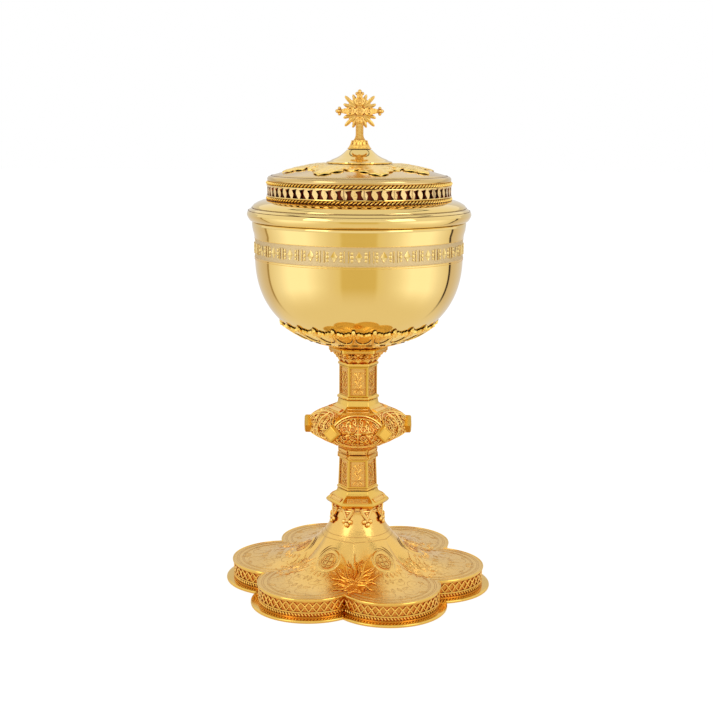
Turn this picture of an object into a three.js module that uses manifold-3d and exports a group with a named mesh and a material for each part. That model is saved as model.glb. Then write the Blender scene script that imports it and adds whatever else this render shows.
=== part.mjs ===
// A ciborium: a covered communion cup on a knopped hexagonal stem and a six-lobed foot.
// Millimetres, +Z up. The origin is the centre of the foot's underside, and the front faces -Y.
// Angles are measured from the front towards +X. Every piece is modelled from its own
// underside at height 0 and placed by its mesh's position.

import * as THREE from "three";
import { mergeVertices } from "three/addons/utils/BufferGeometryUtils.js";
import Module from "manifold-3d";

const wasm = await Module();
wasm.setup();

// Fits: loose is round a rod or between nested pieces, seat is between faces that bear on each other
const looseFit = 0.3;
const seatFit = 0.1;

// Facets round the axis
const roundSides = 28;
const smallSides = 20;
const hexSides = 6;

// Foot: six lobes on a circle, a plain flange, a stamped wall and a chased hollow shell
const lobeCount = 6;
const lobeCircle = 43.5;
const lobeRadius = 28.7;
const footTurn = degrees(23);
const lobeFacets = 8;
const flangeThickness = 1.8;
const flangeLedge = 4;
const flangeWidth = 6.4;
const wallHeight = 9.2;
const wallThickness = 1.4;
const wallSetBack = 0.6;
const latticeCount = 12;
const latticeHeight = 6.4;
const latticeWidth = 4.7;
const latticeDepth = 0.7;
const latticeRise = 1.5;
const shellEdge = 1;
const shellThickness = 1.3;
const shellRise = 34.4;
const sweepRise = 20.2;
const sweepRadius = 18.6;
const sweepPower = 3.2;
const sweepRows = [0, 0.08, 0.2, 0.45, 0.7, 1];
const coneTopRadius = 12.6;
const coneFlare = 0.77;
const medallionReach = 31;
const medallionRadius = 6.4;
const medallionTurn = degrees(28.5);
const leafReach = 38.5;
const leafSize = 8;
const leafTurn = degrees(-3);
const reliefRise = 0.9;
const reliefRoot = 1.5;

// Stem: hexagonal pieces threaded on one rod, radii to the corners
const rodRadius = 3;
const collarHeight = 10.4;
const collarRadius = 18;
const stemRingHeight = 1.7;
const stemRingRadius = 11.9;
const lowerStemHeight = 16.1;
const lowerStemFoot = 11.1;
const lowerStemHead = 10.5;
const upperStemHeight = 16.9;
const upperStemRadius = 10.7;
const panelMargin = 1.9;
const panelDepth = 0.6;
const throatHeight = 6.6;
const throatRadius = 11.2;
const flareHeight = 6.1;
const upperRingHeight = 2.2;
const capitalRingHeight = 2.1;
const capitalHeight = 8.4;
const capitalNeck = 10.7;
const capitalTop = 16.8;

// Knop: two half shells that meet at the girdle, with six lozenge bosses
const knopLowerHeight = 12.6;
const knopUpperHeight = 8.9;
const knopCorner = 28;
const knopMiddle = 26.2;
const knopTopRadius = 19;
const knopWall = 2.2;
const knopFacets = 4;
const filigreeDepth = 0.7;
const bossDiagonal = 10.2;
const bossReach = 30.2;
const bossDepth = 4.6;
const bossChamfer = 0.5;

// Fleuron crown that hangs round the head of the foot
const fleuronCount = 8;
const fleuronTurn = degrees(22);
const crownHeight = 7.8;
const crownBand = 1.3;
const crownThickness = 1.1;
const crownFacets = 4;
const fleuronSize = 2.1;
const budFlatness = 0.4;

// Cup: a superellipse bowl below a straight wall
const cupDepth = 68;
const cupRimRadius = 58.7;
const rimFlare = 1.5;
const cupBellyRadius = cupRimRadius - rimFlare;
const rimHeight = 17.2;
const cupBellyHeight = cupDepth - rimHeight;
const cupRoundness = 2.35;
const cupWall = 1.5;
const bandDrop = 19.3;
const bandFoot = cupDepth - bandDrop;
const bandWidth = 10.4;
const bandThickness = 0.5;
const socketRadius = 6;
const socketLength = 8;
const socketEnd = 2;
const calyxFloor = 1.4;

// Calyx: the cast leaf cup under the bowl
const calyxLeaves = 24;
const calyxTurn = degrees(4);
const calyxReach = 43;
const calyxFoot = 12.6;
const calyxThickness = 1.1;
const calyxScallop = 2.6;
const calyxOpeningRadius = 35;
const calyxOpeningWidth = 6.2;
const calyxOpeningHeight = 4.2;
const calyxOpeningTilt = degrees(60);

// Lid: shoulder with its lip, drum, dome and locating ring
const lipOverhang = 2.7;
const lipRadius = cupRimRadius + lipOverhang;
const lipHeight = 6.6;
const shoulderHeight = 11.5;
const drumRadius = 48.6;
const lidWall = 1.3;
const domeOverhang = 1.6;
const domeRim = drumRadius + domeOverhang;
const domeEdge = 1.2;
const domeRise = 10;
const domeShoulder = 2.3;
const locatingDrop = 4.5;
const locatingThickness = 1.2;
const locatingGap = 0.8;
const locatingSeat = 3.4;
const locatingRadius = cupRimRadius - cupWall - locatingGap;

// Gallery round the drum: a rope, a pierced strip and a second rope
const galleryOpenings = 60;
const galleryHeight = 6.4;
const galleryThickness = 0.9;
const galleryStandoff = 1.7;
const galleryRadius = drumRadius + galleryStandoff;
const openingHeight = 4.8;
const openingWidth = 2.9;
const openingSlant = 0.6;
const ropeThickness = 1.8;
const drumHeight = galleryHeight + 2 * ropeThickness;

// Finial: leaf wreath, bell, leaf cap and cross
const wreathLeaves = 8;
const wreathTurn = degrees(15);
const wreathReach = 43;
const wreathNotch = 35;
const wreathThickness = 1.3;
const bellRadius = 18;
const bellHeight = 7.6;
const bellTopRadius = 6.8;
const bellHollow = 1.4;
const capHeight = 5.2;
const capRadius = 6.7;
const capTopRadius = 4.4;
const capLeaves = 8;
const crossHeight = 27;
const crossCentre = 15.3;
const crossSpan = 26.4;
const crossBeam = 4.2;
const crossArm = 2.4;
const crossThickness = 3;
const crossBud = 4.4;
const rosetteOffset = 5.3;
const rosetteRadius = 3;
const rayLength = 11.1;
const shortRayLength = 9.5;
const raySpread = degrees(21);
const rayWidth = 1.7;
const rayThickness = 1.4;
const studRadius = 1.9;
const studTail = 1.5;
const nutAcross = 7;
const nutHeight = 3;
const washerRadius = 5;
const washerThickness = 1;
const washerLand = washerRadius + 1;

// Nut and washer under the foot
const footNutAcross = 10;
const footNutHeight = 5;
const footWasherRadius = 9.5;
const footWasherThickness = 1.6;
const rodTail = 2;

// Finishes
const polishedGold = { color: 0xddba70, roughness: 0.12, metalness: 1 };
const chasedGold = { color: 0xe0b464, roughness: 0.3, metalness: 1 };
const castGold = { color: 0xe2a94a, roughness: 0.38, metalness: 1 };
const satinBand = { color: 0xcdbb9c, roughness: 0.6, metalness: 0.7 };
const steel = { color: 0xa9a9a6, roughness: 0.4, metalness: 1 };

function degrees(value) {
  return (value * Math.PI) / 180;
}

// A solid of manifold-3d from a closed geometry
function toSolid(geometry) {
  const plain = geometry.clone();
  plain.deleteAttribute("normal");
  plain.deleteAttribute("uv");
  const merged = mergeVertices(plain);
  return new wasm.Manifold(
    new wasm.Mesh({
      numProp: 3,
      vertProperties: new Float32Array(merged.attributes.position.array),
      triVerts: new Uint32Array(merged.index.array),
    }),
  );
}

function toGeometry(solid) {
  const mesh = solid.getMesh();
  const geometry = new THREE.BufferGeometry();
  geometry.setAttribute("position", new THREE.BufferAttribute(mesh.vertProperties, 3));
  geometry.setIndex(new THREE.BufferAttribute(mesh.triVerts, 1));
  geometry.computeVertexNormals();
  return geometry;
}

function cut(geometry, cutters) {
  const start = toSolid(geometry);
  return toGeometry(cutters.reduce((left, cutter) => left.subtract(toSolid(cutter)), start));
}

function join(geometries) {
  const [first, ...others] = geometries.map(toSolid);
  return toGeometry(others.reduce((whole, next) => whole.add(next), first));
}

// A piece turned about the vertical axis from [radius, height] points. The outline either
// starts and ends on the axis or is a closed ring. A reshaping rule gets each vertex's angle
// and its point of the outline, and gives the vertex's own [radius, height].
function turned(outline, sides, firstAngle = 0, reshape = null) {
  const rows = [...outline];
  const points = rows.map(([radius, height]) => new THREE.Vector2(radius, height));
  if (THREE.ShapeUtils.area(points) < 0) {
    points.reverse();
    rows.reverse();
  }
  if (points[0].x !== 0 || points[points.length - 1].x !== 0) {
    points.push(points[0].clone());
    rows.push(rows[0]);
  }
  const geometry = new THREE.LatheGeometry(points, sides, firstAngle).rotateX(Math.PI / 2);
  if (!reshape) return geometry;
  const position = geometry.attributes.position;
  for (let i = 0; i < position.count; i += 1) {
    const angle = firstAngle + (Math.floor(i / rows.length) * 2 * Math.PI) / sides;
    const [radius, height] = reshape(angle, rows[i % rows.length]);
    position.setXYZ(i, radius * Math.sin(angle), -radius * Math.cos(angle), height);
  }
  geometry.computeVertexNormals();
  return geometry;
}

// A hexagonal turned piece with a flat to the front
function hexTurned(outline) {
  return turned(outline, hexSides, degrees(30));
}

// A flat shape extruded towards the front, with its own Y as height
function standing(shape, depth) {
  const options = { depth, bevelEnabled: false, curveSegments: 6 };
  return new THREE.ExtrudeGeometry(shape, options).rotateX(Math.PI / 2);
}

function polygon(points) {
  return new THREE.Shape(points.map(([x, y]) => new THREE.Vector2(x, y)));
}

// Copies of a cutter or a bud, spread evenly round the axis
function around(count, firstAngle, make) {
  return Array.from({ length: count }, (_, i) => {
    const angle = firstAngle + (i * 2 * Math.PI) / count;
    return make(angle).rotateZ(angle);
  });
}

// How far an angle lies from the middle of its share of the circle, from -1 to 1
function shareOf(angle, count, firstAngle) {
  const half = Math.PI / count;
  return THREE.MathUtils.euclideanModulo(angle - firstAngle + half, 2 * half) / half - 1;
}

function place(parent, name, geometry, finish, height) {
  const mesh = new THREE.Mesh(geometry, new THREE.MeshStandardMaterial(finish));
  mesh.name = name;
  mesh.position.z = height;
  parent.add(mesh);
  return mesh;
}

// Foot

// Radius of the six-lobed edge at an angle, for lobes of a given radius
function lobeEdge(angle, radius) {
  const turn = (shareOf(angle, lobeCount, footTurn) * Math.PI) / lobeCount;
  const across = lobeCircle * Math.sin(turn);
  return lobeCircle * Math.cos(turn) + Math.sqrt(radius * radius - across * across);
}

function lobedRing(outer, inner, height, facets) {
  const outline = (radius, steps) => {
    const points = [];
    const corner = lobeEdge(footTurn + Math.PI / lobeCount, radius);
    const reach = corner * Math.cos(Math.PI / lobeCount) - lobeCircle;
    const halfArc = Math.acos(reach / radius);
    for (let lobe = 0; lobe < lobeCount; lobe += 1) {
      const lobeAngle = footTurn + (lobe * 2 * Math.PI) / lobeCount - Math.PI / 2;
      for (let i = 0; i < steps; i += 1) {
        const angle = lobeAngle + halfArc * ((2 * i) / steps - 1);
        const x = lobeCircle * Math.cos(lobeAngle) + radius * Math.cos(angle);
        const y = lobeCircle * Math.sin(lobeAngle) + radius * Math.sin(angle);
        points.push(new THREE.Vector2(x, y));
      }
    }
    return points;
  };
  const shape = new THREE.Shape(outline(outer, facets));
  shape.holes.push(new THREE.Path(outline(inner, lobeFacets)));
  return new THREE.ExtrudeGeometry(shape, { depth: height, bevelEnabled: false });
}

function baseFlange() {
  const outer = lobeRadius + flangeLedge;
  return lobedRing(outer, outer - flangeWidth, flangeThickness, lobeFacets);
}

// The upright wall under the shell, stamped with one row of lozenges
function footWall() {
  const radius = lobeRadius - wallSetBack;
  const ring = lobedRing(radius, radius - wallThickness, wallHeight, latticeCount);
  const corner = lobeEdge(footTurn + Math.PI / lobeCount, radius);
  const halfArc = Math.acos((corner * Math.cos(Math.PI / lobeCount) - lobeCircle) / radius);
  const cutters = [];
  for (let lobe = 0; lobe < lobeCount; lobe += 1) {
    for (let i = 0; i < latticeCount; i += 1) {
      const turn = halfArc * ((2 * i + 1) / latticeCount - 1);
      const face = radius * Math.cos(halfArc / latticeCount);
      const pit = new THREE.ConeGeometry(1, latticeDepth * 2, 4);
      pit.scale(latticeWidth, 1, latticeHeight);
      pit.translate(0, -face, latticeRise + latticeHeight / 2);
      pit.rotateZ(turn);
      pit.translate(0, -lobeCircle, 0);
      cutters.push(pit.rotateZ(footTurn + (lobe * 2 * Math.PI) / lobeCount));
    }
  }
  return cut(ring, cutters);
}

// Radius of the round cone at the head of the foot, a drop below its top
function coneRadius(drop) {
  const share = drop / (shellRise - sweepRise);
  return coneTopRadius + (sweepRadius - coneTopRadius) * share * (1 - coneFlare + coneFlare * share);
}

// Height of the sweep at a share of the way from the cone to the lobed edge
function sweepHeight(share) {
  return shellEdge + (sweepRise - shellEdge) * (1 - share) ** sweepPower;
}

// Height of the sweep's facets, which run straight from row to row
function facetHeight(share) {
  const next = sweepRows.findIndex((row) => row >= share);
  const [before, after] = [sweepRows[next - 1], sweepRows[next]];
  const part = (share - before) / (after - before);
  return (1 - part) * sweepHeight(before) + part * sweepHeight(after);
}

// A low relief laid on the sweep: a prism with the outline's points as corners, from its foot
// round to the right, and with the outline's Y pointing up towards the cone
function relief(outline, turn, reach) {
  const corners = outline.length;
  const prism = new THREE.CylinderGeometry(1, 1, 1, corners).rotateX(Math.PI / 2);
  const position = prism.attributes.position;
  for (let i = 0; i < position.count; i += 1) {
    const [x, y] = [position.getX(i), position.getY(i)];
    const corner = Math.round((corners * Math.atan2(x, -y)) / (2 * Math.PI)) % corners;
    const [across, along] = Math.hypot(x, y) > 0.5 ? outline.at(corner) : [0, 0];
    const radius = reach - along;
    const angle = turn + across / radius;
    const share = (radius - sweepRadius) / (lobeEdge(angle, lobeRadius) - sweepRadius);
    const surface = facetHeight(share);
    const buried = Math.max(surface - reliefRoot, shellEdge / 2);
    const height = position.getZ(i) > 0 ? surface + reliefRise : buried;
    position.setXYZ(i, radius * Math.sin(angle), -radius * Math.cos(angle), height);
  }
  return prism;
}

// Six round medallions and, in the valleys between the lobes, six spread leaves
function footReliefs() {
  const sides = 10;
  const disc = Array.from({ length: sides }, (_, i) => {
    const turn = (2 * Math.PI * i) / sides;
    return [medallionRadius * Math.sin(turn), -medallionRadius * Math.cos(turn)];
  });
  const halfLeaf = [
    [0.3, -1],
    [0.75, -0.45],
    [1, 0.2],
    [0.6, 0.15],
    [0.65, 0.7],
    [0.3, 0.5],
  ].map(([across, along]) => [leafSize * across, leafSize * along]);
  const otherHalf = halfLeaf.toReversed().map(([across, along]) => [-across, along]);
  const leaf = [...halfLeaf, [0, leafSize], ...otherHalf];
  return Array.from({ length: lobeCount }, (_, i) => (i * 2 * Math.PI) / lobeCount).flatMap((turn) => [
    relief(disc, medallionTurn + turn, medallionReach),
    relief(leaf, leafTurn + turn, leafReach),
  ]);
}

// The hollow shell: a round cone above, swept out into the six lobes below
function footShell() {
  const edge = lobeCircle + lobeRadius;
  const coneDrop = shellRise - sweepRise;
  const sweep = (share) => [sweepRadius + (edge - sweepRadius) * share, sweepHeight(share)];
  const cone = (share) => [coneRadius(coneDrop * share), shellRise - coneDrop * share];
  const inward = ([radius, height]) => [radius - shellThickness, height - shellThickness];
  const plate = shellRise - 2 * shellThickness;
  const bore = rodRadius + looseFit;
  const outline = [
    [bore, shellRise],
    ...[0, 0.5].map(cone),
    ...sweepRows.map(sweep),
    [edge, 0],
    [edge - 2 * shellEdge, 0],
    ...[0.65, 0.4, 0.16].map(sweep).map(inward),
    inward(cone(0.7)),
    [coneTopRadius - shellThickness, plate],
    [bore, plate],
  ];
  const firstAngle = footTurn + Math.PI / lobeCount;
  const shell = turned(outline, lobeCount * lobeFacets, firstAngle, (angle, [radius, height]) => {
    if (radius <= sweepRadius) return [radius, height];
    const share = (radius - sweepRadius) / (edge - sweepRadius);
    return [sweepRadius + share * (lobeEdge(angle, lobeRadius) - sweepRadius), height];
  });
  return join([shell, ...footReliefs()]);
}

// The cresting round the head of the foot: inverted arches that end in buds
function fleuronCrown() {
  const near = (drop) => coneRadius(drop) + looseFit;
  const outline = [
    [near(0), 0],
    [near(0) + crownThickness, 0],
    [near(crownHeight) + crownThickness, -crownHeight],
    [near(crownHeight), -crownHeight],
  ];
  const sides = fleuronCount * crownFacets;
  const cresting = turned(outline, sides, fleuronTurn, (angle, [radius, height]) => {
    if (height !== -crownHeight) return [radius, height];
    const share = Math.abs(shareOf(angle, fleuronCount, fleuronTurn));
    const drop = crownBand + (crownHeight - crownBand) * (1 - Math.sqrt(share));
    return [radius + near(drop) - near(crownHeight), -drop];
  });
  const buds = around(fleuronCount, fleuronTurn, () => {
    const bud = new THREE.OctahedronGeometry(fleuronSize).scale(1, budFlatness, 1);
    const drop = crownHeight - fleuronSize / 2;
    return bud.translate(0, -near(crownHeight) - crownThickness, -drop);
  });
  return join([cresting, ...buds]);
}

// Stem

const boreRadius = (rodRadius + looseFit) / Math.cos(Math.PI / hexSides);

// A hexagonal piece from [corner radius, height] points, with the bore for the rod
function hexBored(outline) {
  const top = outline[outline.length - 1][1];
  return hexTurned([[boreRadius, 0], ...outline, [boreRadius, top]]);
}

function footCollar() {
  const h = collarHeight;
  return hexBored([
    [collarRadius - 4.6, 0],
    [collarRadius - 2.4, 1.2],
    [collarRadius - 0.6, 2.5],
    [collarRadius, 3.7],
    [collarRadius - 0.6, 4.6],
    [collarRadius - 3.4, 6.6],
    [collarRadius - 5.2, 7.6],
    [stemRingRadius - 0.3, h - 1.6],
    [stemRingRadius - 0.4, h],
  ]);
}

function stemRing(height, radius) {
  return hexBored([
    [radius - 0.7, 0],
    [radius, height * 0.3],
    [radius, height * 0.7],
    [radius - 0.7, height],
  ]);
}

// A stem length with a recessed panel in each of its six faces
function panelledStem(height, footRadius, headRadius) {
  const body = hexBored([
    [footRadius, 0],
    [headRadius, height],
  ]);
  const middle = ((footRadius + headRadius) / 2) * Math.cos(Math.PI / hexSides);
  const width = (footRadius + headRadius) / 2 - 2 * panelMargin;
  const panels = around(hexSides, 0, () => {
    const box = new THREE.BoxGeometry(width, 2 * panelDepth, height - 2 * panelMargin);
    return box.translate(0, -middle, height / 2);
  });
  return cut(body, panels);
}

function knopThroat() {
  return hexBored([
    [lowerStemHead, 0],
    [lowerStemHead + 0.9, 1.6],
    [lowerStemHead + 0.9, 2.4],
    [lowerStemHead - 0.3, 3.2],
    [throatRadius, throatHeight],
  ]);
}

function knopFlare() {
  return hexBored([
    [knopTopRadius - 0.6, 0],
    [knopTopRadius - 3, 0.9],
    [knopTopRadius - 6.2, 2.2],
    [upperStemRadius + 0.9, 3.9],
    [upperStemRadius + 0.5, flareHeight],
  ]);
}

// Knop

// Rows of [corner radius, height, middle radius, sunk share] from the girdle outwards
const knopUpperRows = [
  [knopCorner, 0, knopMiddle, 0],
  [knopCorner, 2.2, knopMiddle - 0.3, 0.8],
  [knopCorner - 0.4, 4.6, knopMiddle - 1.4, 0.8],
  [knopCorner - 4.6, 7.2, knopMiddle - 4.8, 0],
  [knopTopRadius, knopUpperHeight, knopTopRadius - 2.5, 0],
];
const knopLowerRows = [
  [knopCorner, 0, knopMiddle, 0],
  [knopCorner, -2.6, knopMiddle - 0.5, 0.8],
  [knopCorner - 0.8, -4.9, knopMiddle - 2, 0.8],
  [knopCorner - 4.6, -6.9, knopMiddle - 5, 0],
  [knopCorner - 10.4, -9.6, knopMiddle - 10.6, 0],
  [throatRadius + 0.8, -knopLowerHeight, throatRadius - 0.8, 0],
];

// Half of the knop: round at the girdle, hexagonal at its end, with two sunk panels in each
// face and a lozenge notch at each corner
function knopHalf(rows) {
  const end = rows[rows.length - 1][1];
  const inward = Math.sign(end) * knopWall;
  const bore = rodRadius + looseFit;
  const throat = rows[rows.length - 1][2] - 2 * knopWall;
  const outline = [
    ...rows,
    [bore, end, bore, 0],
    [bore, end - inward, bore, 0],
    [throat, end - inward, throat, 0],
    [knopCorner - knopWall, rows[2][1] - inward * 0.5, knopMiddle - 1.5 * knopWall, 0],
    [knopCorner - knopWall, 0, knopMiddle - knopWall, 0],
  ];
  const half = turned(outline, hexSides * knopFacets, 0, (angle, row) => {
    const [corner, height, middle, sunkShare] = row;
    const share = Math.abs(shareOf(angle, hexSides, 0));
    const sunk = share > 0.2 && share < sunkShare ? filigreeDepth : 0;
    return [middle + (corner - middle) * share * share - sunk, height];
  });
  const notches = around(hexSides, degrees(30), () => {
    const notch = standing(lozenge(bossDiagonal / 2 + 2 * looseFit), bossReach);
    return notch.translate(0, -(knopCorner - 2 * knopWall), 0);
  });
  return cut(half, notches);
}

function lozenge(reach) {
  return polygon([
    [reach, 0],
    [0, reach],
    [-reach, 0],
    [0, -reach],
  ]);
}

// A lozenge boss with a chamfered face, seated in the notches of both halves
function knopBoss() {
  const boss = new THREE.ExtrudeGeometry(lozenge(bossDiagonal / 2), {
    depth: bossDepth - 2 * bossChamfer,
    bevelThickness: bossChamfer,
    bevelSize: bossChamfer,
    bevelOffset: -bossChamfer,
    bevelSegments: 1,
  });
  return boss.rotateX(Math.PI / 2).translate(0, bossDepth - bossChamfer - bossReach, 0);
}

// Capital and cup

const socketBore = socketRadius + looseFit;

function capital() {
  const rows = [
    [capitalNeck, 0, capitalNeck - 1.4],
    [capitalNeck + 1.3, 1.6, capitalNeck - 0.1],
    [capitalNeck + 2.8, 3.6, capitalNeck + 1.2],
    [capitalTop - 1.2, 6, capitalTop - 3.6],
    [capitalTop, capitalHeight - 1, capitalTop - 2.2],
    [capitalTop, capitalHeight, capitalTop - 2.5],
    [socketBore, capitalHeight, socketBore],
    [socketBore, 0, socketBore],
  ];
  return turned(rows, hexSides * 4, 0, (angle, [corner, height, middle]) => {
    const share = Math.abs(shareOf(angle, hexSides, 0));
    return [middle + (corner - middle) * share ** 3, height];
  });
}

// Height of the bowl's outside above its lowest point, or of a surface a little outside it
function bowlHeight(radius, outside = 0) {
  const share = Math.min(1, radius / (cupBellyRadius + outside)) ** cupRoundness;
  return cupBellyHeight - (cupBellyHeight + outside) * (1 - share) ** (1 / cupRoundness);
}

function cupBowl() {
  const steps = [0.16, 0.36, 0.54, 0.69, 0.84];
  const radii = steps.map((step) => cupBellyRadius * Math.sin((step * Math.PI) / 2) ** 0.9);
  const under = radii.map((radius) => [radius, bowlHeight(radius)]);
  const inside = radii.slice(1).map((radius) => {
    const inner = radius - cupWall * 0.8;
    return [inner, bowlHeight(inner, -cupWall)];
  });
  const groove = cupBellyRadius - bandThickness + seatFit;
  const bandTop = bandFoot + bandWidth;
  return turned(
    [
      [0, 0],
      ...under,
      [cupBellyRadius, bandFoot - seatFit],
      [groove - seatFit, bandFoot - seatFit],
      [groove - seatFit, bandTop + seatFit],
      [cupBellyRadius + 0.2, bandTop + seatFit],
      [cupRimRadius - 0.6, cupDepth - 5],
      [cupRimRadius, cupDepth - 2],
      [cupRimRadius, cupDepth],
      [cupRimRadius - cupWall, cupDepth],
      [cupRimRadius - cupWall, cupDepth - locatingDrop - locatingGap],
      [cupBellyRadius - cupWall, cupBellyHeight],
      ...inside.reverse(),
      [0, cupWall],
    ],
    roundSides,
  );
}

function ornamentBand() {
  const inner = cupBellyRadius - bandThickness + seatFit;
  return turned(
    [
      [inner, 0],
      [inner + bandThickness, 0],
      [inner + bandThickness, bandWidth],
      [inner, bandWidth],
    ],
    roundSides,
  );
}

// The threaded socket under the bowl that the tie rod screws into
function cupSocket() {
  const bore = rodRadius + looseFit;
  return turned(
    [
      [0, socketLength],
      [socketRadius, socketLength],
      [socketRadius, 0],
      [bore, 0],
      [bore, socketLength - socketEnd],
      [0, socketLength - socketEnd],
    ],
    smallSides,
  );
}

// The cast leaf cup that hugs the bowl: scalloped at its edge and pierced once per leaf
function calyx() {
  const lift = calyxFloor + seatFit;
  const near = 0.5;
  const far = near + calyxThickness;
  const surface = (radius, outside) => lift + bowlHeight(radius, outside);
  const radii = [1, 0.86, 0.7].map((share) => calyxReach * share);
  const outline = [
    [socketBore, 0],
    [calyxFoot, 0],
    ...radii.toReversed().map((radius) => [radius, surface(radius, far), far]),
    ...radii.map((radius) => [radius, surface(radius, near), near]),
    [calyxFoot, calyxFloor],
    [socketBore, calyxFloor],
  ];
  const sides = calyxLeaves * 2;
  const shell = turned(outline, sides, calyxTurn, (angle, [radius, height, outside]) => {
    if (radius !== calyxReach) return [radius, height];
    const share = Math.abs(shareOf(angle, calyxLeaves, calyxTurn));
    const scalloped = radius - calyxScallop * (1 - share);
    return [scalloped, surface(scalloped, outside)];
  });
  const half = calyxOpeningWidth / 2;
  const openings = around(calyxLeaves, calyxTurn, () => {
    const shape = polygon([
      [-half, calyxOpeningHeight / 2],
      [-half * 0.6, -calyxOpeningHeight / 2],
      [half * 0.6, -calyxOpeningHeight / 2],
      [half, calyxOpeningHeight / 2],
    ]);
    const cutter = standing(shape, 6 * calyxThickness).translate(0, 3 * calyxThickness, 0);
    cutter.rotateX(calyxOpeningTilt);
    return cutter.translate(0, -calyxOpeningRadius, surface(calyxOpeningRadius, near));
  });
  return cut(shell, openings);
}

// Lid

function lidShoulder() {
  const drumFoot = shoulderHeight;
  const drumTop = shoulderHeight + drumHeight;
  const ringSide = locatingRadius + seatFit;
  return turned(
    [
      [ringSide, 0],
      [cupRimRadius + 0.3, 0],
      [lipRadius - 0.8, 1.4],
      [lipRadius, 3.3],
      [lipRadius - 0.8, 5.2],
      [lipRadius - 2.5, lipHeight],
      [lipRadius - 5.4, drumFoot - 1.9],
      [drumRadius + 1.9, drumFoot],
      [drumRadius, drumFoot],
      [drumRadius, drumTop],
      [drumRadius - lidWall, drumTop],
      [drumRadius - lidWall, drumFoot - lidWall],
      [lipRadius - 4, lipHeight],
      [ringSide, locatingSeat + 2 * seatFit],
    ],
    roundSides,
  );
}

function locatingRing() {
  return turned(
    [
      [locatingRadius - locatingThickness, 0],
      [locatingRadius, 0],
      [locatingRadius, locatingDrop + locatingSeat],
      [locatingRadius - locatingThickness, locatingDrop + locatingSeat],
    ],
    roundSides,
  );
}

// Height of the dome's outside above the drum
function domeHeight(radius) {
  return domeRise - (domeRise - domeShoulder) * (radius / domeRim) ** 2;
}

function lidDome() {
  const middle = (bellRadius + drumRadius) / 2;
  const bore = studRadius + looseFit;
  const inner = drumRadius - 2 * lidWall;
  return turned(
    [
      [bore, domeHeight(bore)],
      [bellRadius, domeHeight(bellRadius)],
      [middle, domeHeight(middle)],
      [domeRim - 0.6, domeHeight(domeRim - 0.6)],
      [domeRim, domeEdge],
      [domeRim, 0],
      [inner, 0],
      [inner, domeHeight(inner) - lidWall],
      [middle, domeHeight(middle) - lidWall],
      [washerLand, domeHeight(washerLand) - lidWall],
      [bore, domeHeight(washerLand) - lidWall],
    ],
    roundSides,
  );
}

function ropeRing() {
  const inner = drumRadius + seatFit;
  const outer = galleryRadius + 0.4;
  return turned(
    [
      [inner, 0],
      [outer - ropeThickness / 3, 0],
      [outer, ropeThickness / 2],
      [outer - ropeThickness / 3, ropeThickness],
      [inner, ropeThickness],
    ],
    roundSides,
  );
}

// The strip round the drum, pierced with slanted openings
function piercedGallery() {
  const inner = galleryRadius - galleryThickness;
  const strip = turned(
    [
      [inner, 0],
      [galleryRadius, 0],
      [galleryRadius, galleryHeight],
      [inner, galleryHeight],
    ],
    galleryOpenings,
    Math.PI / galleryOpenings,
  );
  const half = openingWidth / 2;
  const rise = openingHeight / 2;
  const shape = polygon([
    [-half - openingSlant, rise],
    [-half + openingSlant, -rise],
    [half + openingSlant, -rise],
    [half - openingSlant, rise],
  ]);
  const openings = around(galleryOpenings, 0, () => {
    const cutter = standing(shape, 2 * galleryThickness);
    return cutter.translate(0, galleryThickness * 1.5 - galleryRadius, galleryHeight / 2);
  });
  return cut(strip, openings);
}

// Finial

// Cast foliage round the bell: eight leaves with three lobes each, lying on the dome
function leafWreath() {
  const columns = 8;
  const edge = [1, 0.7, 0.84, 0.4, 0];
  const inner = bellRadius + looseFit;
  const start = domeHeight(bellRadius);
  const middle = (bellRadius + wreathReach) / 2;
  const lying = (radius) => domeHeight(radius) - start + looseFit;
  const outline = [
    [inner, lying(inner), 0],
    [middle, lying(middle), 0],
    [wreathReach, lying(wreathReach), 0],
    [wreathReach, lying(wreathReach) + 0.5, 0.5],
    [middle, lying(middle) + 1, wreathThickness],
    [inner, lying(inner) + 1, wreathThickness],
  ];
  return turned(outline, wreathLeaves * columns, wreathTurn, (angle, [radius, , rise]) => {
    const share = Math.abs(shareOf(angle, wreathLeaves, wreathTurn));
    const reach = wreathNotch + (wreathReach - wreathNotch) * edge[Math.round(share * 4)];
    const along = (radius - inner) / (wreathReach - inner);
    const own = inner + along * (reach - inner);
    const ridge = rise * (1 - 0.5 * share);
    return [own, lying(own) + ridge];
  });
}

function lidBell() {
  const bore = studRadius + looseFit;
  return turned(
    [
      [bore, bellHollow],
      [bellRadius - 2.4, bellHollow],
      [bellRadius - 1.4, 0],
      [bellRadius, 0],
      [bellRadius, 1],
      [bellRadius - 1.2, 1.8],
      [bellRadius - 6.2, 3.8],
      [bellTopRadius + 1.6, 6],
      [bellTopRadius, bellHeight],
      [bore, bellHeight],
    ],
    smallSides,
  );
}

function leafCap() {
  const bore = studRadius + looseFit;
  const outline = [
    [bore, 0],
    [capRadius - 1.6, 0],
    [capRadius, 0.5],
    [capRadius - 0.5, 1.5],
    [capTopRadius + 0.6, 3.4],
    [capTopRadius, capHeight],
    [bore, capHeight],
  ];
  return turned(outline, capLeaves * 2, 0, (angle, [radius, height]) => {
    const share = Math.abs(shareOf(angle, capLeaves, 0));
    return [radius <= bore ? radius : radius * (1 - 0.14 * share), height];
  });
}

function bar(width, depth, height, x, z) {
  return new THREE.BoxGeometry(width, depth, height).translate(x, 0, z);
}

function ray(angle, length) {
  const spike = new THREE.ConeGeometry(1, length, 4);
  spike.scale(rayWidth / 2, 1, rayThickness / 2).rotateX(Math.PI / 2);
  return spike.translate(0, 0, length / 2).rotateY(angle).translate(0, 0, crossCentre);
}

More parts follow.
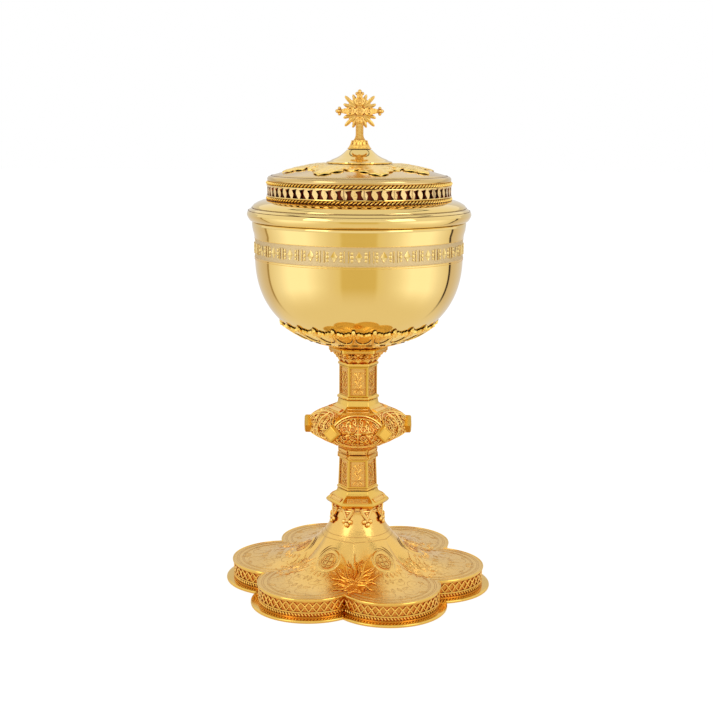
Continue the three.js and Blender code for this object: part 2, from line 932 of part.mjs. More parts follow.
function bud(x, z) {
  const shape = new THREE.OctahedronGeometry(crossBud / 2);
  return shape.scale(1, crossThickness / crossBud, 1).translate(x, 0, z);
}

// The cross: a beam, two arms and a head that end in buds, scroll rosettes and twelve rays
function finialCross() {
  const reach = crossSpan / 2 - crossBud / 2;
  const head = crossHeight - crossBud / 2;
  const pieces = [
    bar(crossBeam, crossThickness, crossCentre, 0, crossCentre / 2),
    bar(2 * reach, crossArm, crossArm, 0, crossCentre),
    bar(crossArm, crossArm, head - crossCentre, 0, (head + crossCentre) / 2),
    bud(-reach, crossCentre),
    bud(reach, crossCentre),
    bud(0, head),
  ];
  const spots = [
    [-rosetteOffset, crossCentre],
    [rosetteOffset, crossCentre],
    [0, crossCentre + rosetteOffset],
    [0, crossCentre],
  ];
  for (const [x, z] of spots) {
    const rosette = new THREE.CylinderGeometry(rosetteRadius, rosetteRadius, crossThickness - 0.4, 8);
    pieces.push(rosette.translate(x, 0, z));
  }
  for (let corner = 0; corner < 4; corner += 1) {
    const middle = degrees(45 + 90 * corner);
    pieces.push(ray(middle, rayLength));
    pieces.push(ray(middle - raySpread, shortRayLength));
    pieces.push(ray(middle + raySpread, shortRayLength));
  }
  return join(pieces);
}

// Fasteners

function rod(radius, length) {
  return new THREE.CylinderGeometry(radius, radius, length, 12)
    .rotateX(Math.PI / 2)
    .translate(0, 0, length / 2);
}

function washer(bore, radius, thickness) {
  return turned(
    [
      [bore, 0],
      [radius, 0],
      [radius, thickness],
      [bore, thickness],
    ],
    2 * hexSides,
  );
}

function hexNut(bore, across, height) {
  const corner = across / 2 / Math.cos(Math.PI / hexSides);
  const innerCorner = bore / Math.cos(Math.PI / hexSides);
  return hexTurned([
    [innerCorner, 0],
    [corner, 0],
    [corner, height],
    [innerCorner, height],
  ]);
}

// Assembly

const ciborium = new THREE.Group();
ciborium.name = "ciborium";

const cup = new THREE.Group();
ciborium.add(cup);

// Stacks pieces upwards and gives the height of the next seat
let level = 0;
function stack(name, geometry, finish, height) {
  place(cup, name, geometry, finish, level);
  level += height;
}

stack("base_flange", baseFlange(), polishedGold, flangeThickness);
stack("foot_wall", footWall(), castGold, wallHeight);
stack("foot_shell", footShell(), chasedGold, shellRise);
place(cup, "fleuron_crown", fleuronCrown(), castGold, level);
const shellTop = level;
stack("foot_collar", footCollar(), polishedGold, collarHeight);
stack("lower_stem_ring", stemRing(stemRingHeight, stemRingRadius), polishedGold, stemRingHeight);
stack("lower_stem", panelledStem(lowerStemHeight, lowerStemFoot, lowerStemHead), castGold, lowerStemHeight);
stack("knop_throat", knopThroat(), polishedGold, throatHeight);
level += knopLowerHeight;
place(cup, "knop_lower", knopHalf(knopLowerRows), castGold, level);
for (let i = 0; i < hexSides; i += 1) {
  const boss = place(cup, `knop_boss_${i + 1}`, knopBoss(), polishedGold, level);
  boss.rotation.z = degrees(30 + 60 * i);
}
stack("knop_upper", knopHalf(knopUpperRows), castGold, knopUpperHeight);
stack("knop_flare", knopFlare(), polishedGold, flareHeight);
stack("upper_stem_ring", stemRing(upperRingHeight, stemRingRadius), polishedGold, upperRingHeight);
const upperStem = panelledStem(upperStemHeight, upperStemRadius, upperStemRadius);
stack("upper_stem", upperStem, castGold, upperStemHeight);
stack("capital_ring", stemRing(capitalRingHeight, capitalNeck + 0.7), polishedGold, capitalRingHeight);
stack("capital", capital(), castGold, capitalHeight);
place(cup, "calyx", calyx(), castGold, level);
level += calyxFloor + seatFit;
place(cup, "cup_socket", cupSocket(), steel, level - seatFit - socketLength);
place(cup, "ornament_band", ornamentBand(), satinBand, level + bandFoot);
const rodTop = level - seatFit - socketEnd - looseFit;
stack("cup_bowl", cupBowl(), polishedGold, cupDepth);

const washerLevel = shellTop - 2 * shellThickness - seatFit - footWasherThickness;
const nutLevel = washerLevel - footNutHeight;
const bore = rodRadius + looseFit;
place(cup, "foot_washer", washer(bore, footWasherRadius, footWasherThickness), steel, washerLevel);
place(cup, "foot_nut", hexNut(bore, footNutAcross, footNutHeight), steel, nutLevel);
place(cup, "tie_rod", rod(rodRadius, rodTop - nutLevel + rodTail), steel, nutLevel - rodTail);

const lid = new THREE.Group();
lid.position.z = level + looseFit;
ciborium.add(lid);

const drumFoot = shoulderHeight;
const drumTop = shoulderHeight + drumHeight;
const bellSeat = drumTop + domeHeight(bellRadius) + looseFit;
const capSeat = bellSeat + bellHeight;
const crossSeat = capSeat + capHeight;
place(lid, "lid_shoulder", lidShoulder(), polishedGold, 0);
place(lid, "locating_ring", locatingRing(), polishedGold, -locatingDrop);
place(lid, "lower_rope_ring", ropeRing(), castGold, drumFoot);
place(lid, "pierced_gallery", piercedGallery(), castGold, drumFoot + ropeThickness);
place(lid, "upper_rope_ring", ropeRing(), castGold, drumTop - ropeThickness);
place(lid, "lid_dome", lidDome(), polishedGold, drumTop);
place(lid, "leaf_wreath", leafWreath(), castGold, drumTop + domeHeight(bellRadius));
place(lid, "lid_bell", lidBell(), polishedGold, bellSeat);
place(lid, "leaf_cap", leafCap(), castGold, capSeat);
place(lid, "finial_cross", finialCross(), castGold, crossSeat);

const lidWasherLevel = drumTop + domeHeight(washerLand) - lidWall - seatFit - washerThickness;
const lidNutLevel = lidWasherLevel - nutHeight;
const studBore = studRadius + looseFit;
place(lid, "finial_washer", washer(studBore, washerRadius, washerThickness), steel, lidWasherLevel);
place(lid, "finial_nut", hexNut(studBore, nutAcross, nutHeight), steel, lidNutLevel);
place(lid, "finial_stud", rod(studRadius, crossSeat - lidNutLevel + studTail), steel, lidNutLevel - studTail);

export default ciborium;
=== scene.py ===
import math

import bmesh
import bpy
from mathutils import Matrix, Vector


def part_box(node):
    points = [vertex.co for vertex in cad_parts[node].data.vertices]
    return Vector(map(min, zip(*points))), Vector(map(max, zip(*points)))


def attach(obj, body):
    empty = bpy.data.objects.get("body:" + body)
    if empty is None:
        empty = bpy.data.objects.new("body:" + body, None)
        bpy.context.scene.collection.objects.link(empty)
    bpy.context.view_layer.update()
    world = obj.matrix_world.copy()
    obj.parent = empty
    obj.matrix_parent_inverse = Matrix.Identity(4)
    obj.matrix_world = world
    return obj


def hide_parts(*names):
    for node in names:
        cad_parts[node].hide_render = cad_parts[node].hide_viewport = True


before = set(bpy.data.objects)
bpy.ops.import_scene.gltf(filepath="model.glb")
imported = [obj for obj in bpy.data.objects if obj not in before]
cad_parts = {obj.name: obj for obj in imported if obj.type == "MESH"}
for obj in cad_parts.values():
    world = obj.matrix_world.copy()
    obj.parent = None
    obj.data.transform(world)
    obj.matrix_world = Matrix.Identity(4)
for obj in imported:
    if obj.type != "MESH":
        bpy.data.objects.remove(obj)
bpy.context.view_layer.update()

# Base flange
# The flat plate that the cup stands on. It is sheet brass, sawn to six lobes, soldered under the
# foot's wall with its edge rounded, then polished and gilded.

mm = 0.001
lobe_count = 6
lobe_circle = 43.5 * mm
lobe_radius = 28.7 * mm
first_lobe = math.radians(23 - 90)
cusp = first_lobe + math.pi / lobe_count
flange_ledge = 4 * mm
flange_width = 6.4 * mm


def turned(points, steps, start=0.0, closed=False):
    """A shape turned about the upright axis from (radius, height) points."""
    bm = bmesh.new()
    side = (math.cos(start), math.sin(start))
    verts = [bm.verts.new((r * side[0], r * side[1], z)) for r, z in points]
    edges = [bm.edges.new(pair) for pair in zip(verts, verts[1:])]
    if closed:
        edges.append(bm.edges.new((verts[-1], verts[0])))
    bmesh.ops.spin(
        bm, geom=verts + edges, cent=(0, 0, 0), axis=(0, 0, 1), angle=2 * math.pi, steps=steps, use_merge=True
    )
    bmesh.ops.remove_doubles(bm, verts=bm.verts, dist=1e-7)
    bmesh.ops.recalc_face_normals(bm, faces=bm.faces)
    return bm


def rounded(points, reach, steps=3):
    """The same outline with each inner corner rounded, starting a reach away from it."""
    line = [points[0]]
    for before, corner, after in zip(points, points[1:], points[2:]):
        here = Vector(corner)
        into, out = Vector(before) - here, Vector(after) - here
        first = here + into * min(0.5, reach / into.length)
        last = here + out * min(0.5, reach / out.length)
        for i in range(steps + 1):
            t = i / steps
            line.append(tuple(first * (1 - t) ** 2 + here * 2 * t * (1 - t) + last * t**2))
    line.append(points[-1])
    return line


def lobe_edge(angle, radius):
    """How far the edge of the six lobes lies from the axis, for lobes of one radius."""
    share = math.pi / lobe_count
    turn = (angle - first_lobe + share) % (2 * share) - share
    return lobe_circle * math.cos(turn) + math.sqrt(radius**2 - (lobe_circle * math.sin(turn)) ** 2)


def gilding(name, colour, deep, roughness, spread=0.05, wave=0.02, wave_size=90, cavity=0.0):
    """Gilded metal: its polish varies a little and its face waves slightly. With a cavity share, its colour turns to
    the deep colour where ambient occlusion finds hollows: partly the red tone of its recesses and partly painted shade.
    Without one, its tone varies at random.
    """
    material = bpy.data.materials.new(name)
    material.use_nodes = True
    nodes, links = material.node_tree.nodes, material.node_tree.links
    shader = nodes["Principled BSDF"]
    shader.inputs["Metallic"].default_value = 1
    place = nodes.new("ShaderNodeTexCoord")

    cloud = nodes.new("ShaderNodeTexNoise")
    cloud.inputs["Scale"].default_value = 60
    cloud.inputs["Detail"].default_value = 4
    links.new(place.outputs["Object"], cloud.inputs["Vector"])
    polish = nodes.new("ShaderNodeMapRange")
    polish.inputs["From Min"].default_value = 0.3
    polish.inputs["From Max"].default_value = 0.7
    polish.inputs["To Min"].default_value = roughness
    polish.inputs["To Max"].default_value = roughness + spread
    links.new(cloud.outputs["Fac"], polish.inputs["Value"])
    links.new(polish.outputs["Result"], shader.inputs["Roughness"])

    tint = nodes.new("ShaderNodeMix")
    tint.data_type = "RGBA"
    tint.inputs["A"].default_value = (*colour, 1)
    tint.inputs["B"].default_value = (*deep, 1)
    links.new(tint.outputs["Result"], shader.inputs["Base Color"])
    # Painted shade, partly a red tone of the recesses: ambient occlusion mixes in the deep colour in hollows
    if cavity:
        hollow = nodes.new("ShaderNodeAmbientOcclusion")
        hollow.inputs["Distance"].default_value = 1.6 * mm
        hollow.samples = 4
        depth = nodes.new("ShaderNodeMapRange")
        depth.inputs["From Min"].default_value = 0.85
        depth.inputs["From Max"].default_value = 0.25
        depth.inputs["To Max"].default_value = cavity
        links.new(hollow.outputs["AO"], depth.inputs["Value"])
        links.new(depth.outputs["Result"], tint.inputs["Factor"])
    else:
        shade = nodes.new("ShaderNodeMapRange")
        shade.inputs["To Max"].default_value = 0.35
        links.new(cloud.outputs["Fac"], shade.inputs["Value"])
        links.new(shade.outputs["Result"], tint.inputs["Factor"])

    ripple = nodes.new("ShaderNodeTexNoise")
    ripple.inputs["Scale"].default_value = wave_size
    ripple.inputs["Detail"].default_value = 3
    links.new(place.outputs["Object"], ripple.inputs["Vector"])
    relief = nodes.new("ShaderNodeBump")
    relief.inputs["Strength"].default_value = wave
    relief.inputs["Distance"].default_value = 1 * mm
    links.new(ripple.outputs["Fac"], relief.inputs["Height"])
    links.new(relief.outputs["Normal"], shader.inputs["Normal"])
    return material


def finished(name, bm, material, body, slot, *nodes, crease=40):
    """Makes the shape a piece of the object, smooth but for its creases, riding on its body."""
    mesh = bpy.data.meshes.new(name)
    bm.to_mesh(mesh)
    bm.free()
    mesh.shade_smooth()
    mesh.set_sharp_from_angle(angle=math.radians(crease))
    for one in material if isinstance(material, list) else [material]:
        mesh.materials.append(one)
    piece = bpy.data.objects.new(name, mesh)
    bpy.context.scene.collection.objects.link(piece)
    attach(piece, body)
    if nodes:
        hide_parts(*nodes)
    return piece


flange_bottom, flange_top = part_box("base_flange")[0].z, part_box("base_flange")[1].z
flange_edge = lobe_radius + flange_ledge - 0.3 * mm
flange_outline = rounded(
    [
        (flange_edge - flange_width, flange_bottom),
        (flange_edge - 0.1 * mm, flange_bottom),
        (flange_edge, flange_top - 0.1 * mm),
        (flange_edge - flange_width, flange_top),
        (flange_edge - flange_width, flange_bottom),
    ],
    0.8 * mm,
)[:-1]
flange = turned(flange_outline, 240, cusp, closed=True)
for v in flange.verts:
    angle = math.atan2(v.co.y, v.co.x)
    reach = lobe_edge(angle, v.co.xy.length)
    v.co.x, v.co.y = reach * math.cos(angle), reach * math.sin(angle)
burnished_gilding = gilding(
    "burnished_gilding", (0.82, 0.52, 0.11), (0.7, 0.3, 0.04), 0.12, 0.07, 0.03, 200, cavity=0.6
)
finished("foot_flange_plate", flange, burnished_gilding, "cup", "polished_gold", "base_flange")

# Foot wall
# A strip of sheet stamped with a lattice, bent round the six lobes and soldered between flange and
# shell. The lattice stands out from a sunk ground, dark red-brown and darker in its depths, partly its
# own tone and partly painted shade, over a plain fillet and a twisted cord in a groove.

wall_setback = 0.6 * mm
wall_ground_depth = 0.55 * mm
wall_bottom, wall_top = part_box("foot_wall")[0].z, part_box("foot_wall")[1].z
wall_face = lobe_radius - wall_setback
lattice_bottom, lattice_top = wall_bottom + 3.3 * mm, wall_top - 0.8 * mm
cord_bottom, cord_top = wall_bottom + 0.5 * mm, wall_bottom + 2.3 * mm
cells_in_lobe = 19
cast_gilding = gilding(
    "cast_gilding", (0.88, 0.54, 0.12), (0.52, 0.11, 0.01), 0.2, 0.1, 0.12, 900, cavity=0.85
)
# Sunk ground: its dark red-brown is partly its own tone and partly painted shade of the gaps
sunk_gilding = gilding(
    "sunk_gilding", (0.72, 0.32, 0.06), (0.45, 0.05, 0.005), 0.22, 0.1, 0.3, 900, cavity=1.0
)


def copies(bm, places):
    """The shape repeated at each place in one mesh."""
    pattern = bpy.data.meshes.new("pattern")
    bm.to_mesh(pattern)
    bm.clear()
    for place in places:
        start = len(bm.verts)
        bm.from_mesh(pattern)
        bm.verts.ensure_lookup_table()
        bmesh.ops.transform(bm, matrix=place, verts=bm.verts[start:])
    bpy.data.meshes.remove(pattern)
    return bm


def block(bm, size, place, edge=0.0):
    """Adds a small bar with chamfered edges."""
    made = bmesh.ops.create_cube(bm, size=1, matrix=place @ Matrix.Diagonal((*size, 1)))["verts"]
    if edge:
        edges = list({e for v in made for e in v.link_edges})
        bmesh.ops.bevel(
            bm, geom=edges, offset=edge, affect="EDGES", segments=1, profile=0.5, material=-1
        )


def add(bm, other):
    """Adds the other shape to this one."""
    holder = bpy.data.meshes.new("holder")
    other.to_mesh(holder)
    other.free()
    bm.from_mesh(holder)
    bpy.data.meshes.remove(holder)


wall = turned(
    [
        (wall_face - 1.4 * mm, wall_bottom),
        (wall_face, wall_bottom),
        (wall_face, cord_bottom - 0.1 * mm),
        (wall_face - 0.7 * mm, cord_bottom),
        (wall_face - 0.7 * mm, cord_top),
        (wall_face, cord_top + 0.1 * mm),
        (wall_face, lattice_bottom - 0.2 * mm),
        (wall_face - wall_ground_depth, lattice_bottom),
        (wall_face - wall_ground_depth, lattice_top),
        (wall_face, lattice_top + 0.2 * mm),
        (wall_face, wall_top),
        (wall_face - 1.4 * mm, wall_top),
    ],
    240,
    cusp,
    closed=True,
)
for v in wall.verts:
    angle = math.atan2(v.co.y, v.co.x)
    reach = lobe_edge(angle, v.co.xy.length)
    v.co.x, v.co.y = reach * math.cos(angle), reach * math.sin(angle)
# Upright faces of the sunk ground and of the cord's groove take the darker gilding: painted shade, partly the ground's
# own tone
for face in wall.faces:
    middle = face.calc_center_median()
    sunk = lattice_bottom < middle.z < lattice_top or cord_bottom < middle.z < cord_top
    face.material_index = int(sunk and abs(face.normal.z) < 0.1)
finished("foot_wall_strip", wall, [cast_gilding, sunk_gilding], "cup", "cast_gold", "foot_wall")

cusp_reach = lobe_edge(cusp, wall_face)
half_arc = math.atan2(cusp_reach * 0.5, cusp_reach * math.cos(math.pi / 6) - lobe_circle)
cell_width = 2 * half_arc * wall_face / cells_in_lobe
cell_height = lattice_top - lattice_bottom
bar_length = math.hypot(cell_width, cell_height)
bar_lean = math.atan2(cell_width, cell_height)
lattice = bmesh.new()
for lean in (bar_lean, -bar_lean):
    block(lattice, (0.8 * mm, 0.85 * mm, bar_length), Matrix.Rotation(lean, 4, "X"), 0.2 * mm)


def round_wall(count, out, height):
    """Places set evenly along the six lobes of the wall, with X outwards."""
    return [
        Matrix.Rotation(first_lobe + lobe * math.pi / 3, 4, "Z")
        @ Matrix.Translation((lobe_circle, 0, 0))
        @ Matrix.Rotation(half_arc * ((2 * cell + 1) / count - 1), 4, "Z")
        @ Matrix.Translation((out, 0, height))
        for lobe in range(lobe_count)
        for cell in range(count)
    ]


lattice_places = round_wall(
    cells_in_lobe, wall_face - 0.25 * mm, (lattice_bottom + lattice_top) / 2
)
cord = bmesh.new()
block(cord, (0.9 * mm, 0.95 * mm, 2.0 * mm), Matrix.Rotation(math.radians(38), 4, "X"), 0.25 * mm)
cord = copies(cord, round_wall(44, wall_face - 0.35 * mm, (cord_bottom + cord_top) / 2))
finished("foot_wall_cord", cord, cast_gilding, "cup", "cast_gold")
finished("foot_wall_lattice", copies(lattice, lattice_places), cast_gilding, "cup", "cast_gold")

# Foot shell
# The hollow foot: a round cone above that sweeps out into the six lobes. It is raised from one
# sheet, chased from the outside with lines, scrolls and leaves, gilded and lightly polished.

shell_bottom, shell_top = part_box("foot_shell")[0].z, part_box("foot_shell")[1].z
shell_edge = 1 * mm
sheet = 1.3 * mm
cone_height = 14.2 * mm
cone_top = 12.6 * mm
cone_foot = 18.6 * mm
sweep_height = shell_top - cone_height - shell_bottom
rod_hole = 3.3 * mm
widest = lobe_circle + lobe_radius


def sweep(share):
    """Height of the lobed part above the shell's edge, from 0 at the cone to 1 at the lobes' edge."""
    return shell_edge + (sweep_height - shell_edge) * (1 - share) ** 3.2


def cone(share):
    """(radius, height) of the round cone, from 0 at its top to 1 where the lobes begin."""
    radius = cone_top + (cone_foot - cone_top) * share * (0.23 + 0.77 * share)
    return radius, shell_top - cone_height * share


def shell_at(radius, angle, lift=0.0):
    """A point of the shell's outside at a radius and an angle."""
    if radius <= cone_foot:
        drop = (radius - cone_top) / (cone_foot - cone_top)
        share = (math.sqrt(0.23**2 + 4 * 0.77 * max(0, drop)) - 0.23) / (2 * 0.77)
        height = shell_top - cone_height * share
    else:
        share = min(1, (radius - cone_foot) / (lobe_edge(angle, lobe_radius) - cone_foot))
        height = shell_bottom + sweep(share)
    return Vector((radius * math.cos(angle), radius * math.sin(angle), height + lift))


shell_line = [(rod_hole, shell_top)] + [cone(i / 8) for i in range(8)]
for i in range(25):
    share = (i / 24) ** 1.35
    shell_line.append((cone_foot + (widest - cone_foot) * share, shell_bottom + sweep(share)))
shell_line += [
    (widest + 0.15 * mm, shell_bottom + 0.75 * mm),
    (widest + 0.15 * mm, shell_bottom + 0.3 * mm),
    (widest - 0.1 * mm, shell_bottom),
    (widest - 2 * mm, shell_bottom),
]
for share in (0.75, 0.5, 0.3, 0.16, 0.05):
    shell_line.append(
        (cone_foot + (widest - cone_foot) * share - sheet, shell_bottom + sweep(share) - sheet)
    )
shell_line += [
    (cone(0.7)[0] - sheet, cone(0.7)[1] - sheet),
    (cone_top - sheet, shell_top - 2 * sheet),
    (rod_hole, shell_top - 2 * sheet),
]
shell = turned(shell_line, 288, cusp, closed=True)
for v in shell.verts:
    plain = v.co.xy.length
    if plain > cone_foot:
        angle = math.atan2(v.co.y, v.co.x)
        share = (plain - cone_foot) / (widest - cone_foot)
        reach = cone_foot + share * (lobe_edge(angle, lobe_radius) - cone_foot)
        v.co.x, v.co.y = reach * math.cos(angle), reach * math.sin(angle)
chased_gilding = gilding(
    "chased_gilding", (0.86, 0.54, 0.15), (0.62, 0.25, 0.03), 0.19, 0.08, 0.1, 500, cavity=0.8
)
line_gilding = gilding("line_gilding", (0.64, 0.4, 0.12), (0.4, 0.18, 0.04), 0.32, 0.1, 0.1, 700)
finished("foot_shell_raised", shell, chased_gilding, "cup", "chased_gold", "foot_shell", crease=50)


def wires(lines, thickness, sides=1):
    """Round wires that follow lines of points; a point may bring its own thickness as a fourth number."""
    curve = bpy.data.curves.new("wires", "CURVE")
    curve.dimensions = "3D"
    curve.bevel_depth = thickness
    curve.bevel_resolution = sides
    curve.use_fill_caps = True
    for line in lines:
        spline = curve.splines.new("POLY")
        spline.points.add(len(line) - 1)
        for point, spot in zip(spline.points, line):
            point.co = (spot[0], spot[1], spot[2], 1)
            point.radius = spot[3] if len(spot) > 3 else 1
    holder = bpy.data.objects.new("wires", curve)
    bpy.context.scene.collection.objects.link(holder)
    made = bpy.data.meshes.new_from_object(
        holder.evaluated_get(bpy.context.evaluated_depsgraph_get())
    )
    bm = bmesh.new()
    bm.from_mesh(made)
    bpy.data.objects.remove(holder)
    bpy.data.curves.remove(curve)
    bpy.data.meshes.remove(made)
    bmesh.ops.recalc_face_normals(bm, faces=bm.faces)
    return bm


def scroll(across, up, size, turns, hand, start=0.0, thin=0.4):
    """A spiral from its outer end inwards, as (across, up, thickness share) points."""
    count = int(14 * turns) + 2
    line = []
    for i in range(count):
        t = i / (count - 1)
        turn = start + hand * t * turns * 2 * math.pi
        radius = size * (1 - 0.82 * t)
        line.append(
            (across + radius * math.cos(turn), up + radius * math.sin(turn), 1 - (1 - thin) * t)
        )
    return line


def leaf(across, up, length, width, lean):
    """The outline of a small pointed leaf with its vein, as lines like a scroll's."""
    lines = []
    for side in (-1, 0, 1):
        line = []
        for i in range(7):
            t = i / 6
            along = length * t
            beside = side * width / 2 * math.sin(math.pi * t) ** 0.8
            line.append(
                (
                    across + along * math.cos(lean) - beside * math.sin(lean),
                    up + along * math.sin(lean) + beside * math.cos(lean),
                    0.9,
                )
            )
        lines.append(line)
    return lines


# Each lobe has a pair of scrolls and leaves, set out in millimetres from the lobe's middle line
lobe_scrolls = []
for hand in (1, -1):
    for across, out, size, turns, start in (
        (6.5, 58, 5.0, 1.4, 0.5), (12.5, 50.5, 4.2, 1.3, 2.2), (5.2, 47.5, 4.0, 1.3, 4.0),
        (11.5, 41.0, 3.2, 1.2, 0.5), (4.2, 39.5, 3.0, 1.2, 2.4), (17.5, 56.5, 3.2, 1.2, 3.4),
    ):
        lobe_scrolls.append(
            scroll(hand * across, out, size, turns, hand, start if hand > 0 else math.pi - start)
        )
    for across, out, length, width, lean in (
        (1.2, 62, 5.5, 2.2, 70), (10.5, 60.5, 5.5, 2.2, 30), (16.5, 49.5, 4.5, 2.0, 60),
        (8.0, 52.5, 4.5, 2.0, 160), (1.5, 52.0, 4.5, 2.0, 80), (8.2, 44.0, 4.0, 1.8, 140),
        (1.2, 43.0, 4.0, 1.8, 85),
    ):
        turn = math.radians(lean if hand > 0 else 180 - lean)
        lobe_scrolls += leaf(hand * across, out, length, width, turn)
chased_lines = []
for lobe in range(lobe_count):
    middle = first_lobe + lobe * math.pi / 3
    for line in lobe_scrolls:
        chased_lines.append(
            [(*shell_at(out * mm, middle + across / out, -0.05 * mm), wide) for across, out, wide in line]
        )
chasing = wires(chased_lines, 0.18 * mm)
edge_lines = []
for inset in (2.4, 3.4, 5.6, 6.4):
    line = []
    for i in range(241):
        angle = cusp + i * math.pi / 120
        line.append(tuple(shell_at(lobe_edge(angle, lobe_radius - inset * mm), angle, -0.05 * mm)))
    edge_lines.append(line)
for radius in (18.3, 20.1):
    edge_lines.append(
        [tuple(shell_at(radius * mm, i * math.pi / 60, -0.06 * mm)) for i in range(121)]
    )
add(chasing, wires(edge_lines, 0.19 * mm))
finished("foot_chasing", chasing, line_gilding, "cup", "chased_gold")

rim_line = []
for i in range(433):
    angle = cusp + i * math.pi / 216
    reach = lobe_edge(angle, lobe_radius - 0.3 * mm)
    rim_line.append((reach * math.cos(angle), reach * math.sin(angle), shell_bottom + 0.8 * mm))
finished("foot_shell_rim", wires([rim_line], 0.5 * mm, 2), burnished_gilding, "cup", "chased_gold")

# Medallions and valley leaves of the foot
# Six low round medallions with a quatrefoil are raised in the sheet over the valleys' flanks, each
# on a spray of leaves, with near-black arcs painted along their outer flanks as shade and dark
# reflection. Between them a burst of pointed leaves runs out, its depths darkened to red, partly its
# own tone and partly painted shade.

medallion_count = 6
first_medallion = math.radians(28.5 - 90)
medallion_reach = 31
medallion_size = 6.4
valley_turn = math.radians(-1.5 - 90)
# The burst's depths turn dark red by ambient occlusion: partly its own tone, partly painted shade
flame_gilding = gilding(
    "flame_gilding", (0.87, 0.43, 0.06), (0.45, 0.045, 0.004), 0.2, 0.08, 0.3, 700, cavity=1.0
)


def pierced(outline, holes, thickness):
    """A flat plate in X and Y with openings, its faces cut to triangles."""
    curve = bpy.data.curves.new("plate", "CURVE")
    curve.dimensions = "2D"
    curve.fill_mode = "BOTH"
    curve.extrude = thickness / 2
    for line in [outline, *holes]:
        spline = curve.splines.new("POLY")
        spline.points.add(len(line) - 1)
        for point, (x, y) in zip(spline.points, line):
            point.co = (x, y, 0, 1)
        spline.use_cyclic_u = True
    holder = bpy.data.objects.new("plate", curve)
    bpy.context.scene.collection.objects.link(holder)
    made = bpy.data.meshes.new_from_object(
        holder.evaluated_get(bpy.context.evaluated_depsgraph_get())
    )
    bm = bmesh.new()
    bm.from_mesh(made)
    bpy.data.objects.remove(holder)
    bpy.data.curves.remove(curve)
    bpy.data.meshes.remove(made)
    bmesh.ops.remove_doubles(bm, verts=bm.verts, dist=1e-7)
    bmesh.ops.recalc_face_normals(bm, faces=bm.faces)
    return bm


def sliced(bm, direction, positions):
    """Cuts the shape along planes across a direction, so that it can bend there."""
    for position in positions:
        geometry = list(bm.verts) + list(bm.edges) + list(bm.faces)
        bmesh.ops.bisect_plane(
            bm, geom=geometry, dist=1e-8, plane_co=direction * position, plane_no=direction
        )
    return bm


def ring_line(across, up, radius, width=1.0, count=28):
    """A closed circle as (across, up, thickness share) points."""
    turns = [i * 2 * math.pi / count for i in range(count + 1)]
    return [(across + radius * math.cos(t), up + radius * math.sin(t), width) for t in turns]


def on_shell(middle, across, out, lift=0.0):
    """A point over the shell, across and out in millimetres from the axis along a direction."""
    return shell_at(out * mm, middle + across / out, lift)


disc_line = [(0, 0.7), (1.6, 0.72), (3.2, 0.68), (4.4, 0.55), (4.8, 0.5), (5.2, 0.8), (5.6, 0.95), (6.0, 0.85)]
disc_line += [(6.3, 0.5), (6.6, 0.2), (7.3, -0.25)]
discs = turned([(r * mm, (0.7 * z - 0.1) * mm) for r, z in disc_line], 48, 0)
for v in discs.verts:
    v.co = on_shell(first_medallion, v.co.y / mm, medallion_reach + v.co.x / mm, v.co.z)
sixths = [Matrix.Rotation(i * math.pi / 3, 4, "Z") for i in range(medallion_count)]
discs = copies(discs, sixths)
finished("foot_medallions", discs, chased_gilding, "cup", "chased_gold")
# Near-black gilding, painted where there is only shade and dark reflection: arcs by the medallions, capital slots,
# calyx openings, lines on the lid
painted_dark = gilding("painted_dark", (0.16, 0.06, 0.015), (0.1, 0.03, 0.01), 0.4, 0.1, 0.3, 900)
# Painted shade and dark reflection: near-black arcs along each medallion's outer flank, thickest in their middle
shadow_arcs = []
for hand, side in ((1, first_medallion), (-1, first_medallion - math.pi / 3)):
    for radius, first, last in ((7.4, 0.0, 1.9), (8.6, 0.3, 1.3)):
        line = []
        for i in range(15):
            turn = first + (last - first) * i / 14
            across, up = hand * radius * math.cos(turn), radius * math.sin(turn)
            line.append(
                (*on_shell(side, across, medallion_reach - up), 0.2 + 1.4 * math.sin(math.pi * i / 14))
            )
        shadow_arcs.append(line)
finished("foot_medallion_shadow_arcs", copies(wires(shadow_arcs, 0.15 * mm), sixths[::2]), painted_dark, "cup", "chased_gold")

medallion_lines = [ring_line(0, 0, 4.2, 0.8)]
for quarter in range(4):
    turn = math.radians(45 + 90 * quarter)
    medallion_lines.append(ring_line(1.75 * math.cos(turn), 1.75 * math.sin(turn), 1.45, 0.8, 14))
    medallion_lines.append(
        ring_line(3.3 * math.cos(turn + 0.785), 3.3 * math.sin(turn + 0.785), 0.4, 0.8, 8)
    )
for spray in range(9):
    turn = math.radians(200 + 17.5 * spray)
    medallion_lines += leaf(
        (medallion_size + 1.0) * math.cos(turn), (medallion_size + 1.0) * math.sin(turn), 3.4, 1.5, turn
    )
medallion_wires = []
for i in range(medallion_count):
    middle = first_medallion + i * math.pi / 3
    for line in medallion_lines:
        spots = [
            (*on_shell(middle, across, medallion_reach - up, (0.7 if math.hypot(across, up) < 5 else 0) * mm), wide)
            for across, up, wide in line
        ]
        medallion_wires.append(spots)
finished(
    "foot_medallion_ornament", wires(medallion_wires, 0.19 * mm), chased_gilding, "cup", "chased_gold"
)


